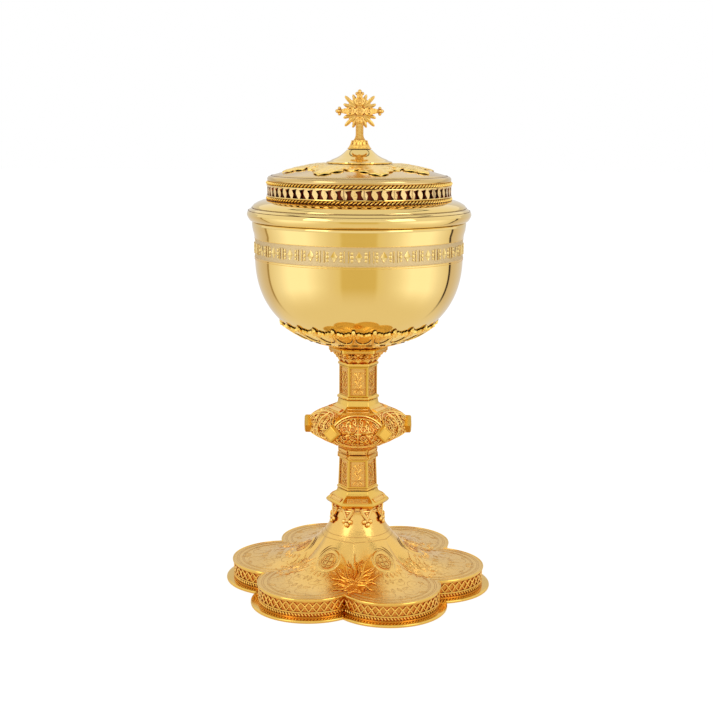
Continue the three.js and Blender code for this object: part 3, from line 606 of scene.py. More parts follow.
def burst(share, rise):
    """A burst of pointed leaves over the front valley, with shares of its full size and height."""
    edge = []
    for i in range(52):
        turn = math.radians(-60 + 300 * i / 51)
        tip = (1.0, 0.72, 0.86, 0.7)[i % 4] * share
        edge.append((10.8 * tip * math.cos(turn), 41 - 13.5 * tip * math.sin(turn)))
    edge += [(-2.6, 54), (-1.8, 57), (-3.2, 58.5), (-4.4, 56.5), (-3.4, 54)] if share == 1 else [(-2, 50)]
    sheet = pierced(edge, [], 1.0)
    sheet = sliced(sheet, Vector((0, 1, 0)), [28 + 2 * i for i in range(19)])
    sheet = sliced(sheet, Vector((1, 0, 0)), [2 * i for i in range(-5, 6)])
    for v in sheet.verts:
        v.co = on_shell(valley_turn, v.co.x, v.co.y, 0.25 * rise * mm if v.co.z > 0 else -0.5 * mm)
    blades = []
    for blade in range(21):
        lean = math.radians(-130 + 13 * blade)
        length = (13.5, 9.5, 11.5, 8)[blade % 4] * share + 5.5 * share * max(0, math.cos(lean)) ** 2
        line = []
        for step in range(9):
            t = step / 8
            beside = 0.9 * math.sin(2.6 * t * math.pi + blade)
            across = (1 + length * t) * math.sin(lean) + beside * math.cos(lean)
            out = 42.5 - (1 + length * t) * math.cos(lean) + beside * math.sin(lean)
            line.append((*on_shell(valley_turn, across, out, 0.25 * rise * mm), 0.3 + 1.3 * math.sin(math.pi * t**0.7)))
        blades.append(line)
    for across, out, size, hand, start in (
        (7.2, 36.5, 1.7, -1, 3), (8.4, 43, 1.8, 1, 2), (4.7, 49, 1.6, -1, 1), (4, 33.5, 1.3, 1, 1),
        (0.8, 50.5, 1.5, 1, 4), (2.4, 52.5, 1.3, 1, 4), (0.4, 29.5, 1.1, 1, 0), (3.4, 29.0, 1.0, 1, 3),
    ):
        for side in (1, -1):
            curl = scroll(
                side * across * share, 42.5 + (out - 42.5) * share, size * share, 1.1, side * hand, start
            )
            blades.append(
                [(*on_shell(valley_turn, a, o, 0.25 * rise * mm), 1.3 * w) for a, o, w in curl]
            )
    add(sheet, wires(blades, 0.42 * rise * mm))
    return sheet


flame = burst(1, 1)
in_front = len(flame.faces)
add(flame, copies(burst(0.72, 0.45), sixths[1:]))
for number, face in enumerate(flame.faces):
    face.material_index = int(number >= in_front)
finished(
    "foot_valley_leaves", flame, [flame_gilding, chased_gilding], "cup", "chased_gold", crease=50
)

# Fleuron crown
# A cast cresting soldered round the head of the cone: a narrow band, eight round arches that hang
# from it, and a three-lobed bud at each point where two arches meet.

fleuron_count = 8
first_fleuron = math.radians(22 - 90)
crown_drop = 7.8 * mm
crown_band = 1.0 * mm


def crown_at(angle, drop, lift):
    """A point on the cresting, a drop below the head of the cone."""
    share = drop / cone_height
    radius = cone_top + (cone_foot - cone_top) * share * (0.23 + 0.77 * share) + lift
    return Vector((radius * math.cos(angle), radius * math.sin(angle), shell_top - drop))


def arch_drop(angle):
    """How far the cresting's lower edge hangs down at an angle."""
    half = math.pi / fleuron_count
    share = abs((angle - first_fleuron) % (2 * half) - half) / half
    return crown_band + (crown_drop * 0.72 - crown_band) * (1 - math.sqrt(max(0, 1 - share**2)))


crown = turned([(cone_top, 0), (cone_top, -1), (cone_top + 1, -1), (cone_top + 1, 0)], 200, first_fleuron, closed=True)
for v in crown.verts:
    angle = math.atan2(v.co.y, v.co.x)
    lift = 0.3 * mm if v.co.xy.length < cone_top + 0.5 else 1.15 * mm
    v.co = crown_at(angle, 0.02 * mm if v.co.z > -0.5 else arch_drop(angle), lift)
crown_wires = []
for offset, wide in ((0.0, 1.0), (-1.1, 0.7)):
    line = []
    for i in range(201):
        angle = first_fleuron + i * math.pi / 100
        line.append(
            (*crown_at(angle, max(0.5 * mm, arch_drop(angle) + offset * mm), 1.15 * mm), wide)
        )
    crown_wires.append(line)
crown_wires.append([(*crown_at(i * math.pi / 60, 0.45 * mm, 1.15 * mm), 1.2) for i in range(121)])
for i in range(fleuron_count):
    middle = first_fleuron + i * 2 * math.pi / fleuron_count
    for side in (-1, 1):
        line = []
        for step in range(7):
            t = step / 6
            line.append(
                (*crown_at(middle + side * 0.2 * (1 - t), (0.5 + 4.8 * t) * mm, 1.3 * mm), 2.1 - 0.6 * t)
            )
        angle = middle + side * 0.24
        neck_radius = 14.1 * mm
        line.insert(
            0, (neck_radius * math.cos(angle), neck_radius * math.sin(angle), shell_top + 1.4 * mm, 2.1)
        )
        crown_wires.append(line)
add(crown, wires(crown_wires, 0.45 * mm))
bud = bmesh.new()
for across, drop, size in ((-1.8, 6.0, 1.4), (1.8, 6.0, 1.4), (0, 7.6, 1.5), (0, 5.6, 1.0), (0, 1.6, 0.8)):
    spot = (crown_at(0, drop * mm, 1.25 * mm).x, across * mm, shell_top - drop * mm)
    flat = Matrix.Translation(spot) @ Matrix.Diagonal((0.65, 1, 1, 1))
    bmesh.ops.create_icosphere(bud, subdivisions=2, radius=size * mm, matrix=flat)
turns = [first_fleuron + i * 2 * math.pi / fleuron_count for i in range(fleuron_count)]
add(crown, copies(bud, [Matrix.Rotation(turn, 4, "Z") for turn in turns]))
crown_gilding = gilding(
    "crown_gilding", (0.9, 0.6, 0.18), (0.5, 0.08, 0.008), 0.18, 0.08, 0.12, 900, cavity=1.0
)
finished("fleuron_cresting", crown, crown_gilding, "cup", "cast_gold", "fleuron_crown")

# Collar and rings of the stem
# Six-sided mouldings threaded on the tie rod: the flared collar on the foot and the astragals
# between the stem's lengths. They are filed sharp, polished and gilded, and the collar has a framed
# slot in each face: a flat dark red sheet whose darkness is painted shade.

hex_bore = 3.9 * mm


def hexed(points, base=0.0, bore=hex_bore):
    """A six-sided shape with a flat face to the front, from (corner radius, height) points in millimetres."""
    line = [(r * mm, base + z * mm) for r, z in points]
    line = [(bore, line[0][1])] + line + [(bore, line[-1][1])]
    bm = turned(line, 6, 0, closed=True)
    corners = [
        e
        for e in bm.edges
        if e.calc_face_angle(0) > 0.3
        and abs(math.atan2(e.verts[0].co.y, e.verts[0].co.x) - math.atan2(e.verts[1].co.y, e.verts[1].co.x)) < 0.01
        and min(v.co.xy.length for v in e.verts) > bore * 1.1
    ]
    bmesh.ops.bevel(
        bm, geom=corners, offset=0.22 * mm, affect="EDGES", segments=2, profile=0.5, material=-1, clamp_overlap=True
    )
    bmesh.ops.recalc_face_normals(bm, faces=bm.faces)
    return bm


def framed_slot(bm, radius, height, width, tall, lean=0.0, bar=0.6 * mm):
    """Adds a thin raised frame on each of the six faces round a flat sheet with the second material, painted dark as
    the shade of a sunk slot.
    """
    for face in range(6):
        place = (
            Matrix.Rotation(math.radians(30 + 60 * face), 4, "Z")
            @ Matrix.Translation((radius * math.cos(math.pi / 6), 0, height))
            @ Matrix.Rotation(lean, 4, "Y")
        )
        start = len(bm.faces)
        block(bm, (0.3 * mm, width, tall), place @ Matrix.Translation((-0.02 * mm, 0, 0)))
        bm.faces.ensure_lookup_table()
        for f in bm.faces[start:]:
            f.material_index = 1
        for side in (-1, 1):
            block(bm, (0.9 * mm, width + bar, bar), place @ Matrix.Translation((0, 0, side * tall / 2)), 0.16 * mm)
            block(
                bm, (0.9 * mm, bar, tall), place @ Matrix.Translation((0, side * width / 2, 0)), 0.16 * mm
            )


# Dark red for the slot sheets: their darkness is painted shade of a sunk slot
slot_red = gilding(
    "slot_red", (0.5, 0.14, 0.03), (0.25, 0.03, 0.01), 0.3, 0.1, 0.3, 900, cavity=1.0
)
collar_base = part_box("foot_collar")[0].z
collar = hexed(
    [
        (13.9, 0.02), (15.6, 1.3), (17.3, 2.4), (18.0, 3.4), (18.0, 3.9), (17.1, 4.9), (15.4, 6.1),
        (13.5, 7.3), (12.2, 8.4), (11.7, 9.4), (11.5, 10.38),
    ],
    collar_base,
)
finished(
    "foot_collar_hex", collar, burnished_gilding, "cup", "polished_gold", "foot_collar", crease=25
)
slots = bmesh.new()
framed_slot(slots, 16.1 * mm, collar_base + 5.8 * mm, 11.0 * mm, 2.2 * mm, math.radians(-46))
neck = [(12.2, 0.05), (13.7, 0.05), (13.9, 0.5), (13.7, 0.95), (13.7, 1.6), (12.2, 1.6)]
neck = turned([(r * mm, collar_base + z * mm) for r, z in neck], 96, closed=True)
finished("foot_collar_neck", neck, chased_gilding, "cup", "polished_gold")
finished("foot_collar_frames", slots, [chased_gilding, slot_red], "cup", "polished_gold")
for node, corner in (("lower_stem_ring", 11.9), ("upper_stem_ring", 11.9), ("capital_ring", 11.5)):
    low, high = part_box(node)[0].z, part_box(node)[1].z
    tall = (high - low) / mm
    astragal = [(corner - 0.9, 0.02), (corner - 0.2, 0.2 * tall), (corner, 0.5 * tall)]
    astragal += [(corner - 0.2, 0.8 * tall), (corner - 0.9, tall - 0.02)]
    finished(
        node + "_hex", hexed(astragal, low), burnished_gilding, "cup", "polished_gold", node, crease=25
    )

# Stem lengths
# Two six-sided tubes cast with a sunk panel in each face. A stem of scrolls and leaves stands in
# the panel on a ground that turns red in its hollows, partly its own tone and partly painted shade,
# with a beaded bar on one side and a small arch at the foot.

panel_frame = 1.15 * mm
panel_depth = 0.5 * mm
panel_gilding = gilding(
    "panel_gilding", (0.84, 0.5, 0.15), (0.5, 0.1, 0.01), 0.25, 0.1, 0.3, 900, cavity=0.9
)


def face_point(face, across, height, out):
    """A point on or over one of the six flat faces, an out distance from the axis."""
    turn = Matrix.Rotation(math.radians(30 + 60 * face), 4, "Z")
    return turn @ Vector((out, across, height))


def stem_length(node, foot_corner, head_corner):
    """A panelled stem length in place of a node, with its filigree."""
    low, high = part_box(node)[0].z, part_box(node)[1].z
    tall = high - low
    bm = hexed([(foot_corner, 0.02), (head_corner, tall / mm - 0.02)], low)
    upright = [f for f in bm.faces if abs(f.normal.z) < 0.2 and f.calc_area() > 40e-6]
    faces = [f for f in upright if f.calc_center_median().xy.length > 6 * mm]
    bmesh.ops.inset_individual(bm, faces=faces, thickness=panel_frame, depth=0)
    bmesh.ops.inset_individual(bm, faces=faces, thickness=0.1 * mm, depth=-panel_depth)
    for f in faces:
        f.material_index = 1
    finished(
        node + "_tube", bm, [burnished_gilding, panel_gilding], "cup", "cast_gold", node, crease=25
    )
    lines = []
    pitch = 2.15
    count = int((tall / mm - 6.5) / pitch)
    for face in range(6):
        figures = []
        for i in range(count):
            up = 4.9 + pitch * (i + 0.5)
            hand = 1 if i % 2 else -1
            figures += [
                scroll(hand * 1.0, up, 1.15, 1.2, hand, 1.2, 0.6),
                scroll(-hand * 1.5, up + 0.4, 0.75, 1.1, -hand, 4.0, 0.7),
                scroll(hand * 2.6, up + 0.9, 0.5, 1.0, -hand, 1.0, 0.7),
            ]
            figures += leaf(-hand * 0.4, up - 1.0, 2.4, 1.0, math.radians(90 + hand * 40))[:2]
        arch = [(2.6 * math.cos(t / 6 * math.pi), 1.4 + 2.4 * math.sin(t / 6 * math.pi), 1.1) for t in range(7)]
        figures += [arch, [(-3.1, 4.2, 1.0), (3.1, 4.2, 1.0)]]
        figures += [scroll(-1.0, 2.2, 0.8, 1, 1), scroll(1.0, 2.2, 0.8, 1, -1)]
        for line in figures:
            points = []
            for a, h, w in line:
                out = stem_out(foot_corner, head_corner, h * mm / tall)
                points.append((*face_point(face, a * mm, low + h * mm, out), w))
            lines.append(points)
    filigree = wires(lines, 0.22 * mm)
    bead = bmesh.new()
    bmesh.ops.create_icosphere(bead, subdivisions=1, radius=0.33 * mm)
    bead_count = int((tall / mm - 3) / 0.75)
    places = []
    for face in range(6):
        for side in (-1, 1):
            for i in range(bead_count):
                h = 1.5 * mm + (tall - 3 * mm) * i / (bead_count - 1)
                out = stem_out(foot_corner, head_corner, h / tall) + 0.25 * mm
                edge = (foot_corner + (head_corner - foot_corner) * h / tall) / 2 * mm - panel_frame - 0.2 * mm
                places.append(Matrix.Translation(face_point(face, side * edge, low + h, out)))
    add(filigree, copies(bead, places))
    finished(node + "_filigree", filigree, cast_gilding, "cup", "cast_gold")


def stem_out(foot_corner, head_corner, share):
    """How far the sunk ground of a stem face lies from the axis, with the filigree half sunk in it."""
    corner = foot_corner + (head_corner - foot_corner) * share
    return corner * mm * math.cos(math.pi / 6) - panel_depth + 0.15 * mm


stem_length("lower_stem", 11.1, 10.5)
stem_length("upper_stem", 10.7, 10.7)

# Knop
# The grip of the stem, cast hollow in two halves that meet at the girdle. Each of its six faces has
# scrollwork on a sunk red ground, in two flat arches of raised double border crossed by a rib.

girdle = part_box("knop_upper")[0].z
knop_rows = (
    (-12.6, 12.0, 10.6), (-11.0, 14.6, 13.0), (-9.6, 17.6, 15.8), (-8.2, 20.8, 18.8),
    (-6.9, 23.4, 21.4), (-4.9, 26.6, 24.0), (-2.6, 27.6, 25.4), (0.0, 27.9, 26.0),
    (2.2, 27.7, 25.6), (4.6, 26.8, 24.4), (6.2, 25.0, 22.7), (7.6, 22.6, 20.2), (8.9, 19.0, 16.9),
)


def knop_radius(angle, height):
    """Radius of the knop at an angle and a height over its girdle, both in metres."""
    up = min(max(height / mm, knop_rows[0][0]), knop_rows[-1][0])
    for lower, upper in zip(knop_rows, knop_rows[1:]):
        if up <= upper[0]:
            break
    t = (up - lower[0]) / (upper[0] - lower[0])
    corner = lower[1] + (upper[1] - lower[1]) * t
    middle = lower[2] + (upper[2] - lower[2]) * t
    share = abs((angle % (math.pi / 3)) - math.pi / 6) / (math.pi / 6)
    return (middle + (corner - middle) * share**2) * mm


def knop_at(face, across, height, lift=0.0):
    """A point on a face of the knop, from millimetres across and over the girdle."""
    angle = math.radians(30 + 60 * face) + math.atan2(across, 25)
    radius = knop_radius(angle, height * mm) + lift
    return Vector((radius * math.cos(angle), radius * math.sin(angle), girdle + height * mm))


def in_round(angle, height):
    """Whether a point of the knop lies in the sunk ground of its face."""
    across = 25 * math.tan((angle % (math.pi / 3)) - math.pi / 6)
    return 0.5 < abs(across) < 13.9 and abs(height) > 0.45 * mm and -11.6 * mm < height < 8.6 * mm


knop_ground = gilding(
    "knop_ground", (0.84, 0.36, 0.06), (0.55, 0.05, 0.004), 0.25, 0.1, 0.3, 900, cavity=1.0
)
for node, body_rows in (("knop_lower", knop_rows[:8]), ("knop_upper", knop_rows[7:])):
    outline = []
    for lower, upper in zip(body_rows, body_rows[1:]):
        for i in range(4):
            up = lower[0] + (upper[0] - lower[0]) * i / 4
            outline.append((20 * mm, girdle + up * mm))
    outline.append((20 * mm, girdle + body_rows[-1][0] * mm))
    trim = 0.02 * mm if node == "knop_upper" else -0.02 * mm
    outline = [(r, z + trim * (abs(z - girdle) < 1e-6)) for r, z in outline]
    closing = [(hex_bore, outline[-1][1]), (hex_bore, outline[0][1])]
    half = turned(outline + closing, 216, 0, closed=True)
    for v in half.verts:
        if v.co.xy.length > hex_bore * 1.5:
            angle = math.atan2(v.co.y, v.co.x)
            radius = knop_radius(angle, v.co.z - girdle)
            if in_round(angle, v.co.z - girdle):
                radius -= 0.75 * mm
            v.co.x, v.co.y = radius * math.cos(angle), radius * math.sin(angle)
    for f in half.faces:
        middle = f.calc_center_median()
        f.material_index = int(
            middle.xy.length > 12 * mm and in_round(
                math.atan2(middle.y, middle.x), middle.z - girdle
            )
        )
    bmesh.ops.recalc_face_normals(half, faces=half.faces)
    finished(
        node + "_shell", half, [cast_gilding, knop_ground], "cup", "cast_gold", node, crease=50
    )

knop_leaves = ((1.0, 4.0, 2.2, 30), (4.8, 0.8, 2.2, 20), (6.6, 5.4, 1.8, 140), (4.4, 3.4, 2.0, 75))
knop_lines = []
for face in range(6):
    for tall, sign in ((8.5, 1), (9.9, -1)):
        for shrink, wide in ((1.0, 1.5), (0.88, 1.0)):
            arch = []
            for i in range(33):
                turn = math.pi * i / 32
                across = math.copysign(14.2 * shrink * abs(math.cos(turn)) ** 0.667, math.cos(turn))
                up = 0.3 + (tall - 0.3) * shrink * math.sin(turn) ** 0.667
                arch.append((*knop_at(face, across, sign * up), wide))
            knop_lines.append(arch)
        knop_lines.append(
            [(*knop_at(face, 0, sign * (0.2 + (tall - 0.4) * i / 8)), 1.3) for i in range(9)]
        )
        for hand in (1, -1):
            figures = []
            for across, up, size, turns, start in (
                (3.0, 2.4, 2.0, 1.5, 0.0), (7.4, 2.3, 1.9, 1.4, 2.4), (5.3, 4.9, 1.5, 1.3, 4.0),
                (2.3, 5.9, 1.3, 1.2, 1.6), (10.4, 1.5, 1.1, 1.1, 3.0), (9.0, 4.3, 1.2, 1.1, 5.0),
                (4.9, 0.7, 0.7, 1.0, 1.0), (11.4, 3.3, 0.7, 1.0, 2.0), (0.0, 7.2, 0.8, 1.0, 3.0),
                (6.9, 6.3, 0.8, 1.0, 0.0), (11.0, 5.4, 1.1, 1.1, 4.0), (9.0, 6.8, 0.8, 1.0, 2.0),
                (12.3, 2.4, 0.6, 1.0, 0.0), (4.0, 7.2, 0.8, 1.0, 5.0),
            ):
                if up + size < tall - 0.2:
                    figures.append(
                        scroll(hand * across, sign * up, size, turns, hand * sign, start, 0.6)
                    )
            outer = ((10.9, 7.9, 0.55), (12.9, 7.0, 0.75), (12.7, 8.2, 0.4), (8.6, 8.45, 0.35))
            if sign < 0:
                figures.append(scroll(hand * 2.4, -7.6, 1.2, 1.2, hand, 2.0, 0.6))
                outer = ((12.6, 7.6, 1.0), (10.2, 9.2, 0.9), (12.6, 9.9, 0.9))
                outer += ((7.8, 10.5, 0.8), (4.9, 10.8, 0.8), (1.7, 10.9, 0.8))
            for across, up, size in outer:
                figures.append(scroll(hand * across, sign * up, size, 1.1, hand, 1.0, 0.7))
            for across, up, length, lean in knop_leaves:
                turn = math.radians(lean if hand > 0 else 180 - lean) * (1 if sign > 0 else -1)
                figures += leaf(hand * across, sign * up, length, 1.0, turn)[:2]
            for line in figures:
                knop_lines.append(
                    [(*knop_at(face, a, h, -0.35 * mm), 1.05 * w) for a, h, w in line]
                )
    for reach, up in ((1.7, 0), (0, 2.0)):
        for sign in (-1, 1):
            knop_lines.append(
                [(*knop_at(face, sign * reach * t, sign * up * t, 0.35 * mm), 1.7) for t in (0, 0.5, 1)]
            )
knop_work = wires(knop_lines, 0.33 * mm)
scroll_gilding = gilding(
    "scroll_gilding", (0.95, 0.64, 0.17), (0.6, 0.12, 0.01), 0.2, 0.08, 0.12, 900, cavity=0.7
)
finished("knop_scrollwork", knop_work, scroll_gilding, "cup", "cast_gold")

# Bosses of the knop
# Six plain lozenges on short square shanks, set into notches at the girdle's corners and pinned
# from inside. The face is polished flat inside a narrow border, its sides left as cast.

boss_gilding = gilding("boss_gilding", (0.74, 0.45, 0.08), (0.6, 0.24, 0.03), 0.14, 0.05, 0.02, 300)
boss_half = 5.1 * mm
boss_reach = 30.1 * mm
boss_depth = 4.5 * mm
for i in range(6):
    boss = bmesh.new()
    seat = Matrix.Translation((boss_reach - boss_depth / 2, 0, girdle))
    turn = Matrix.Rotation(math.radians(-60 + 60 * i), 4, "Z") @ seat
    side = boss_half * math.sqrt(2)
    bmesh.ops.create_cube(
        boss, size=1, matrix=turn @ Matrix.Rotation(math.pi / 4, 4, "X") @ Matrix.Diagonal((boss_depth, side, side, 1))
    )
    outward = turn.to_3x3() @ Vector((1, 0, 0))
    face = max(boss.faces, key=lambda f: f.normal.dot(outward))
    edges = list(face.edges)
    bmesh.ops.bevel(
        boss, geom=edges, offset=0.8 * mm, affect="EDGES", segments=2, profile=0.5, material=-1
    )
    face = max(boss.faces, key=lambda f: f.calc_area() * max(0, f.normal.dot(outward)))
    bmesh.ops.inset_individual(boss, faces=[face], thickness=0.35 * mm, depth=0)
    bmesh.ops.inset_individual(boss, faces=[face], thickness=0.15 * mm, depth=-0.18 * mm)
    name = f"knop_boss_{i + 1}"
    finished(name + "_lozenge", boss, boss_gilding, "cup", "polished_gold", name, crease=30)

# Throat and flare of the knop
# The six-sided necks that carry the knop's two ends into the stem, filed and polished, with one or
# two framed slots in each face, each a flat dark red sheet whose darkness is painted shade.

throat_base, flare_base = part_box("knop_throat")[0].z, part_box("knop_flare")[0].z
throat = hexed(
    [(10.5, 0.02), (11.3, 0.9), (11.4, 1.9), (10.9, 2.6), (10.3, 3.2), (10.5, 4.3), (11.0, 5.6), (11.3, 6.58)],
    throat_base,
)
finished(
    "knop_throat_hex", throat, burnished_gilding, "cup", "polished_gold", "knop_throat", crease=25
)
flare = hexed(
    [(18.8, 0.02), (18.4, 0.5), (16.2, 1.1), (13.6, 2.1), (12.1, 3.1), (11.5, 4.2), (11.2, 6.08)], flare_base
)
finished(
    "knop_flare_hex", flare, burnished_gilding, "cup", "polished_gold", "knop_flare", crease=25
)
slots = bmesh.new()
framed_slot(slots, 11.5 * mm, throat_base + 1.6 * mm, 9.4 * mm, 1.8 * mm)
framed_slot(slots, 11.1 * mm, throat_base + 4.6 * mm, 9.2 * mm, 1.8 * mm, math.radians(10))
framed_slot(slots, 16.5 * mm, flare_base + 1.25 * mm, 12.0 * mm, 3.0 * mm, math.radians(-69))
finished("knop_neck_frames", slots, [chased_gilding, slot_red], "cup", "polished_gold")

# Capital
# The cast head of the stem: a six-sided bell under a thick top plate, covered with leaves that curl
# out at the corners. Its ground is red, and the plate has a long framed slot in each face, a flat
# sheet painted near-black as the slot's shade.

capital_base, capital_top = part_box("capital")[0].z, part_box("capital")[1].z
capital_rows = ((0.02, 10.6, 9.3), (1.6, 11.4, 9.8), (3.6, 12.9, 10.9), (5.2, 14.4, 12.4), (5.8, 15.2, 13.2))


def capital_radius(angle, height):
    """Radius of the capital's bell at an angle, a height over its foot."""
    up = min(max(height / mm, capital_rows[0][0]), capital_rows[-1][0])
    for lower, upper in zip(capital_rows, capital_rows[1:]):
        if up <= upper[0]:
            break
    t = (up - lower[0]) / (upper[0] - lower[0])
    corner = lower[1] + (upper[1] - lower[1]) * t
    middle = lower[2] + (upper[2] - lower[2]) * t
    share = abs((angle % (math.pi / 3)) - math.pi / 6) / (math.pi / 6)
    return (middle + (corner - middle) * share**2) * mm


bell = turned(
    [(6.5 * mm, capital_base + 0.02 * mm)]
    + [(10 * mm, capital_base + (0.02 + 5.8 * i / 12) * mm) for i in range(13)]
    + [(6.5 * mm, capital_base + 5.82 * mm)],
    96,
    0,
    closed=True,
)
for v in bell.verts:
    if v.co.xy.length > 8 * mm:
        angle = math.atan2(v.co.y, v.co.x)
        radius = capital_radius(angle, v.co.z - capital_base) - 0.6 * mm
        v.co.x, v.co.y = radius * math.cos(angle), radius * math.sin(angle)
finished("capital_bell", bell, knop_ground, "cup", "cast_gold", "capital")
plate_line = [(15.0, 5.8), (16.1, 6.0), (16.6, 6.3), (16.6, 7.9), (16.3, 8.38)]
plate = hexed(plate_line, capital_base, bore=6.4 * mm)
finished("capital_plate", plate, burnished_gilding, "cup", "cast_gold", crease=25)


def cast_leaf(length, width, lobes, curl, thickness, rows=18, columns=8):
    """A cast leaf lying flat: X across, Y along from its root, Z up, with a rib and lobed sides."""
    bm = bmesh.new()
    bmesh.ops.create_grid(bm, x_segments=columns, y_segments=rows, size=1)
    for v in bm.verts:
        across, along = v.co.x, (v.co.y + 1) / 2
        swell = math.sin(math.pi * min(1, along**0.75 * 0.94 + 0.06)) ** 0.7
        notch = 1 - 0.34 * abs(math.cos(math.pi * lobes * along)) ** 3 * min(1, 3 * abs(across))
        v.co.x = across * width / 2 * swell * notch
        v.co.y = length * (along + 0.06 * abs(across) * math.sin(math.pi * along))
        crease = 0.35 * abs(math.sin(math.pi * lobes * along)) * abs(across)
        v.co.z = thickness * (1.2 - abs(across) * 0.9 + crease) + curl * along**3
    bmesh.ops.solidify(bm, geom=bm.faces, thickness=thickness)
    bmesh.ops.recalc_face_normals(bm, faces=bm.faces)
    return bm


foliage = bmesh.new()
for i in range(12):
    corner = i % 2 == 0
    blade = cast_leaf(7.4 * mm, (6.2 if corner else 6.8) * mm, 3, 0, 0.5 * mm, 14, 8)
    angle = math.radians(30 * i)
    for v in blade.verts:
        up = v.co.y * 0.9
        turn = angle + v.co.x / (12 * mm)
        curl = (0.7 if corner else 1.3) * mm * (v.co.y / (7.4 * mm)) ** 3
        radius = capital_radius(turn, up) - 0.4 * mm + v.co.z + curl
        v.co = Vector(
            (radius * math.cos(turn), radius * math.sin(turn), capital_base + 0.1 * mm + up)
        )
    add(foliage, blade)
    for across, up, size in ((0, 5.4, 0.8), (-1.7, 4.4, 0.6), (1.7, 4.4, 0.6), (-1.1, 2.6, 0.5), (1.1, 2.6, 0.5)):
        turn = angle + across / 14
        tip = capital_radius(turn, up * mm) + (0.4 if corner else 0.8) * mm
        spot = (tip * math.cos(turn), tip * math.sin(turn), capital_base + up * mm)
        bmesh.ops.create_icosphere(
            foliage, subdivisions=2, radius=size * mm, matrix=Matrix.Translation(spot)
        )
capital_lines = []
for face in range(6):
    for hand in (1, -1):
        for across, up, size in ((1.6, 4.4, 1.2), (4.2, 4.2, 1.3), (2.9, 2.0, 0.9)):
            line = []
            for a, h, w in scroll(hand * across, up, size, 1.3, hand, 1.0, 0.6):
                angle = math.radians(30 + 60 * face) + a / 11.5
                radius = capital_radius(angle, h * mm) + 0.35 * mm
                line.append(
                    (radius * math.cos(angle), radius * math.sin(angle), capital_base + h * mm, w)
                )
            capital_lines.append(line)
add(foliage, wires(capital_lines, 0.36 * mm))
finished("capital_foliage", foliage, cast_gilding, "cup", "cast_gold")
# Each slot is a flat sheet in the near-black gilding: painted shade of a sunk slot
slots = bmesh.new()
framed_slot(slots, 16.75 * mm, capital_base + 7.1 * mm, 12.5 * mm, 1.5 * mm, bar=0.34 * mm)
finished("capital_frames", slots, [chased_gilding, painted_dark], "cup", "cast_gold")

# Calyx
# A cast and pierced leaf cup that hugs the bowl from below. Twenty-four leaves stand on a row of
# small slots: each has a sunk half-round field under a notched edge, and a bud tops each post between.

calyx_leaves = 24
first_leaf = math.radians(4 - 90)
leaf_share = math.pi / calyx_leaves
calyx_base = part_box("calyx")[0].z
bowl_low, bowl_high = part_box("cup_bowl")[0].z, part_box("cup_bowl")[1].z
belly_radius = 57.2 * mm
belly_height = 50.8 * mm
bowl_power = 2.35
bowl_sheet = 1.5 * mm


def bowl_surface(radius, outside=0.0):
    """Height of the bowl's outside at a radius, or of a surface a little outside it."""
    share = min(1, radius / (belly_radius + outside)) ** bowl_power
    return bowl_low + belly_height - (belly_height + outside) * (1 - share) ** (1 / bowl_power)


def calyx_at(middle, share, radius, out, wide=1.0):
    """A wire's point over the calyx: a share of half a leaf from its middle, a radius in millimetres."""
    angle = middle + share * leaf_share
    return (radius * mm * math.cos(angle), radius * mm * math.sin(angle), bowl_surface(radius * mm, out), wide)


# One leaf drawn flat: a share of half its width, and the radius. Its foot is set off by half a leaf
post_tip = [(1.0, 44.3), (0.88, 44.0), (0.8, 43.2), (0.82, 42.3), (0.74, 41.7)]
leaf_top = post_tip + [(0.6, 42.4), (0.44, 42.5), (0.3, 41.7), (0.16, 42.0), (0.0, 41.0)]
leaf_edge = leaf_top + [(-share, radius) for share, radius in leaf_top[-2::-1]]
leaf_outline = [(2, 14.5), (2, 31.5), (1, 31.5)] + leaf_edge + [(-1, 31.5), (0, 31.5), (0, 14.5)]
half_round = [(0.85 * math.cos(t * math.pi / 14), 38.8 - 6.5 * math.sin(t * math.pi / 14)) for t in range(15)]
opening = half_round + [(-0.5, 39.3), (-0.2, 38.7), (0, 39.5), (0.2, 38.7), (0.5, 39.3)]
slot = [(1 + 0.5 * math.cos(t * math.pi / 5), 29.2 + 1.2 * math.sin(t * math.pi / 5)) for t in range(10)]
calyx = pierced(leaf_outline, [opening, slot], 1.0)
calyx = sliced(calyx, Vector((1, 0, 0)), [i / 4 for i in range(-3, 8)])
calyx = sliced(calyx, Vector((0, 1, 0)), [16 + 1.5 * i for i in range(18)])
for v in calyx.verts:
    outside = (0.45 if v.co.z > 0 else 1.2) * mm
    v.co = Vector(calyx_at(0, v.co.x, v.co.y, outside)[:3])
turns = [first_leaf + i * 2 * leaf_share for i in range(calyx_leaves)]
calyx = copies(calyx, [Matrix.Rotation(turn, 4, "Z") for turn in turns])
bmesh.ops.remove_doubles(calyx, verts=calyx.verts, dist=1e-6)
bmesh.ops.recalc_face_normals(calyx, faces=calyx.faces)
leaf_lines = [
    [calyx_at(0, share, radius - 0.25, 1.15 * mm, 0.8) for share, radius in leaf_edge],
    [calyx_at(0, share * 1.06, radius - 0.2, 1.15 * mm, 1.0) for share, radius in half_round],
    [calyx_at(0, share, 31.2, 1.05 * mm, 0.7) for share in (-1, -0.5, 0, 0.5, 1)],
    [calyx_at(0, share, 26.9, 1.05 * mm, 0.7) for share in (-1, -0.5, 0, 0.5, 1)],
    [calyx_at(0, 1, radius, 1.25 * mm, 1.3 - 0.05 * (radius - 32)) for radius in (32, 34, 36, 38, 40, 42)],
]
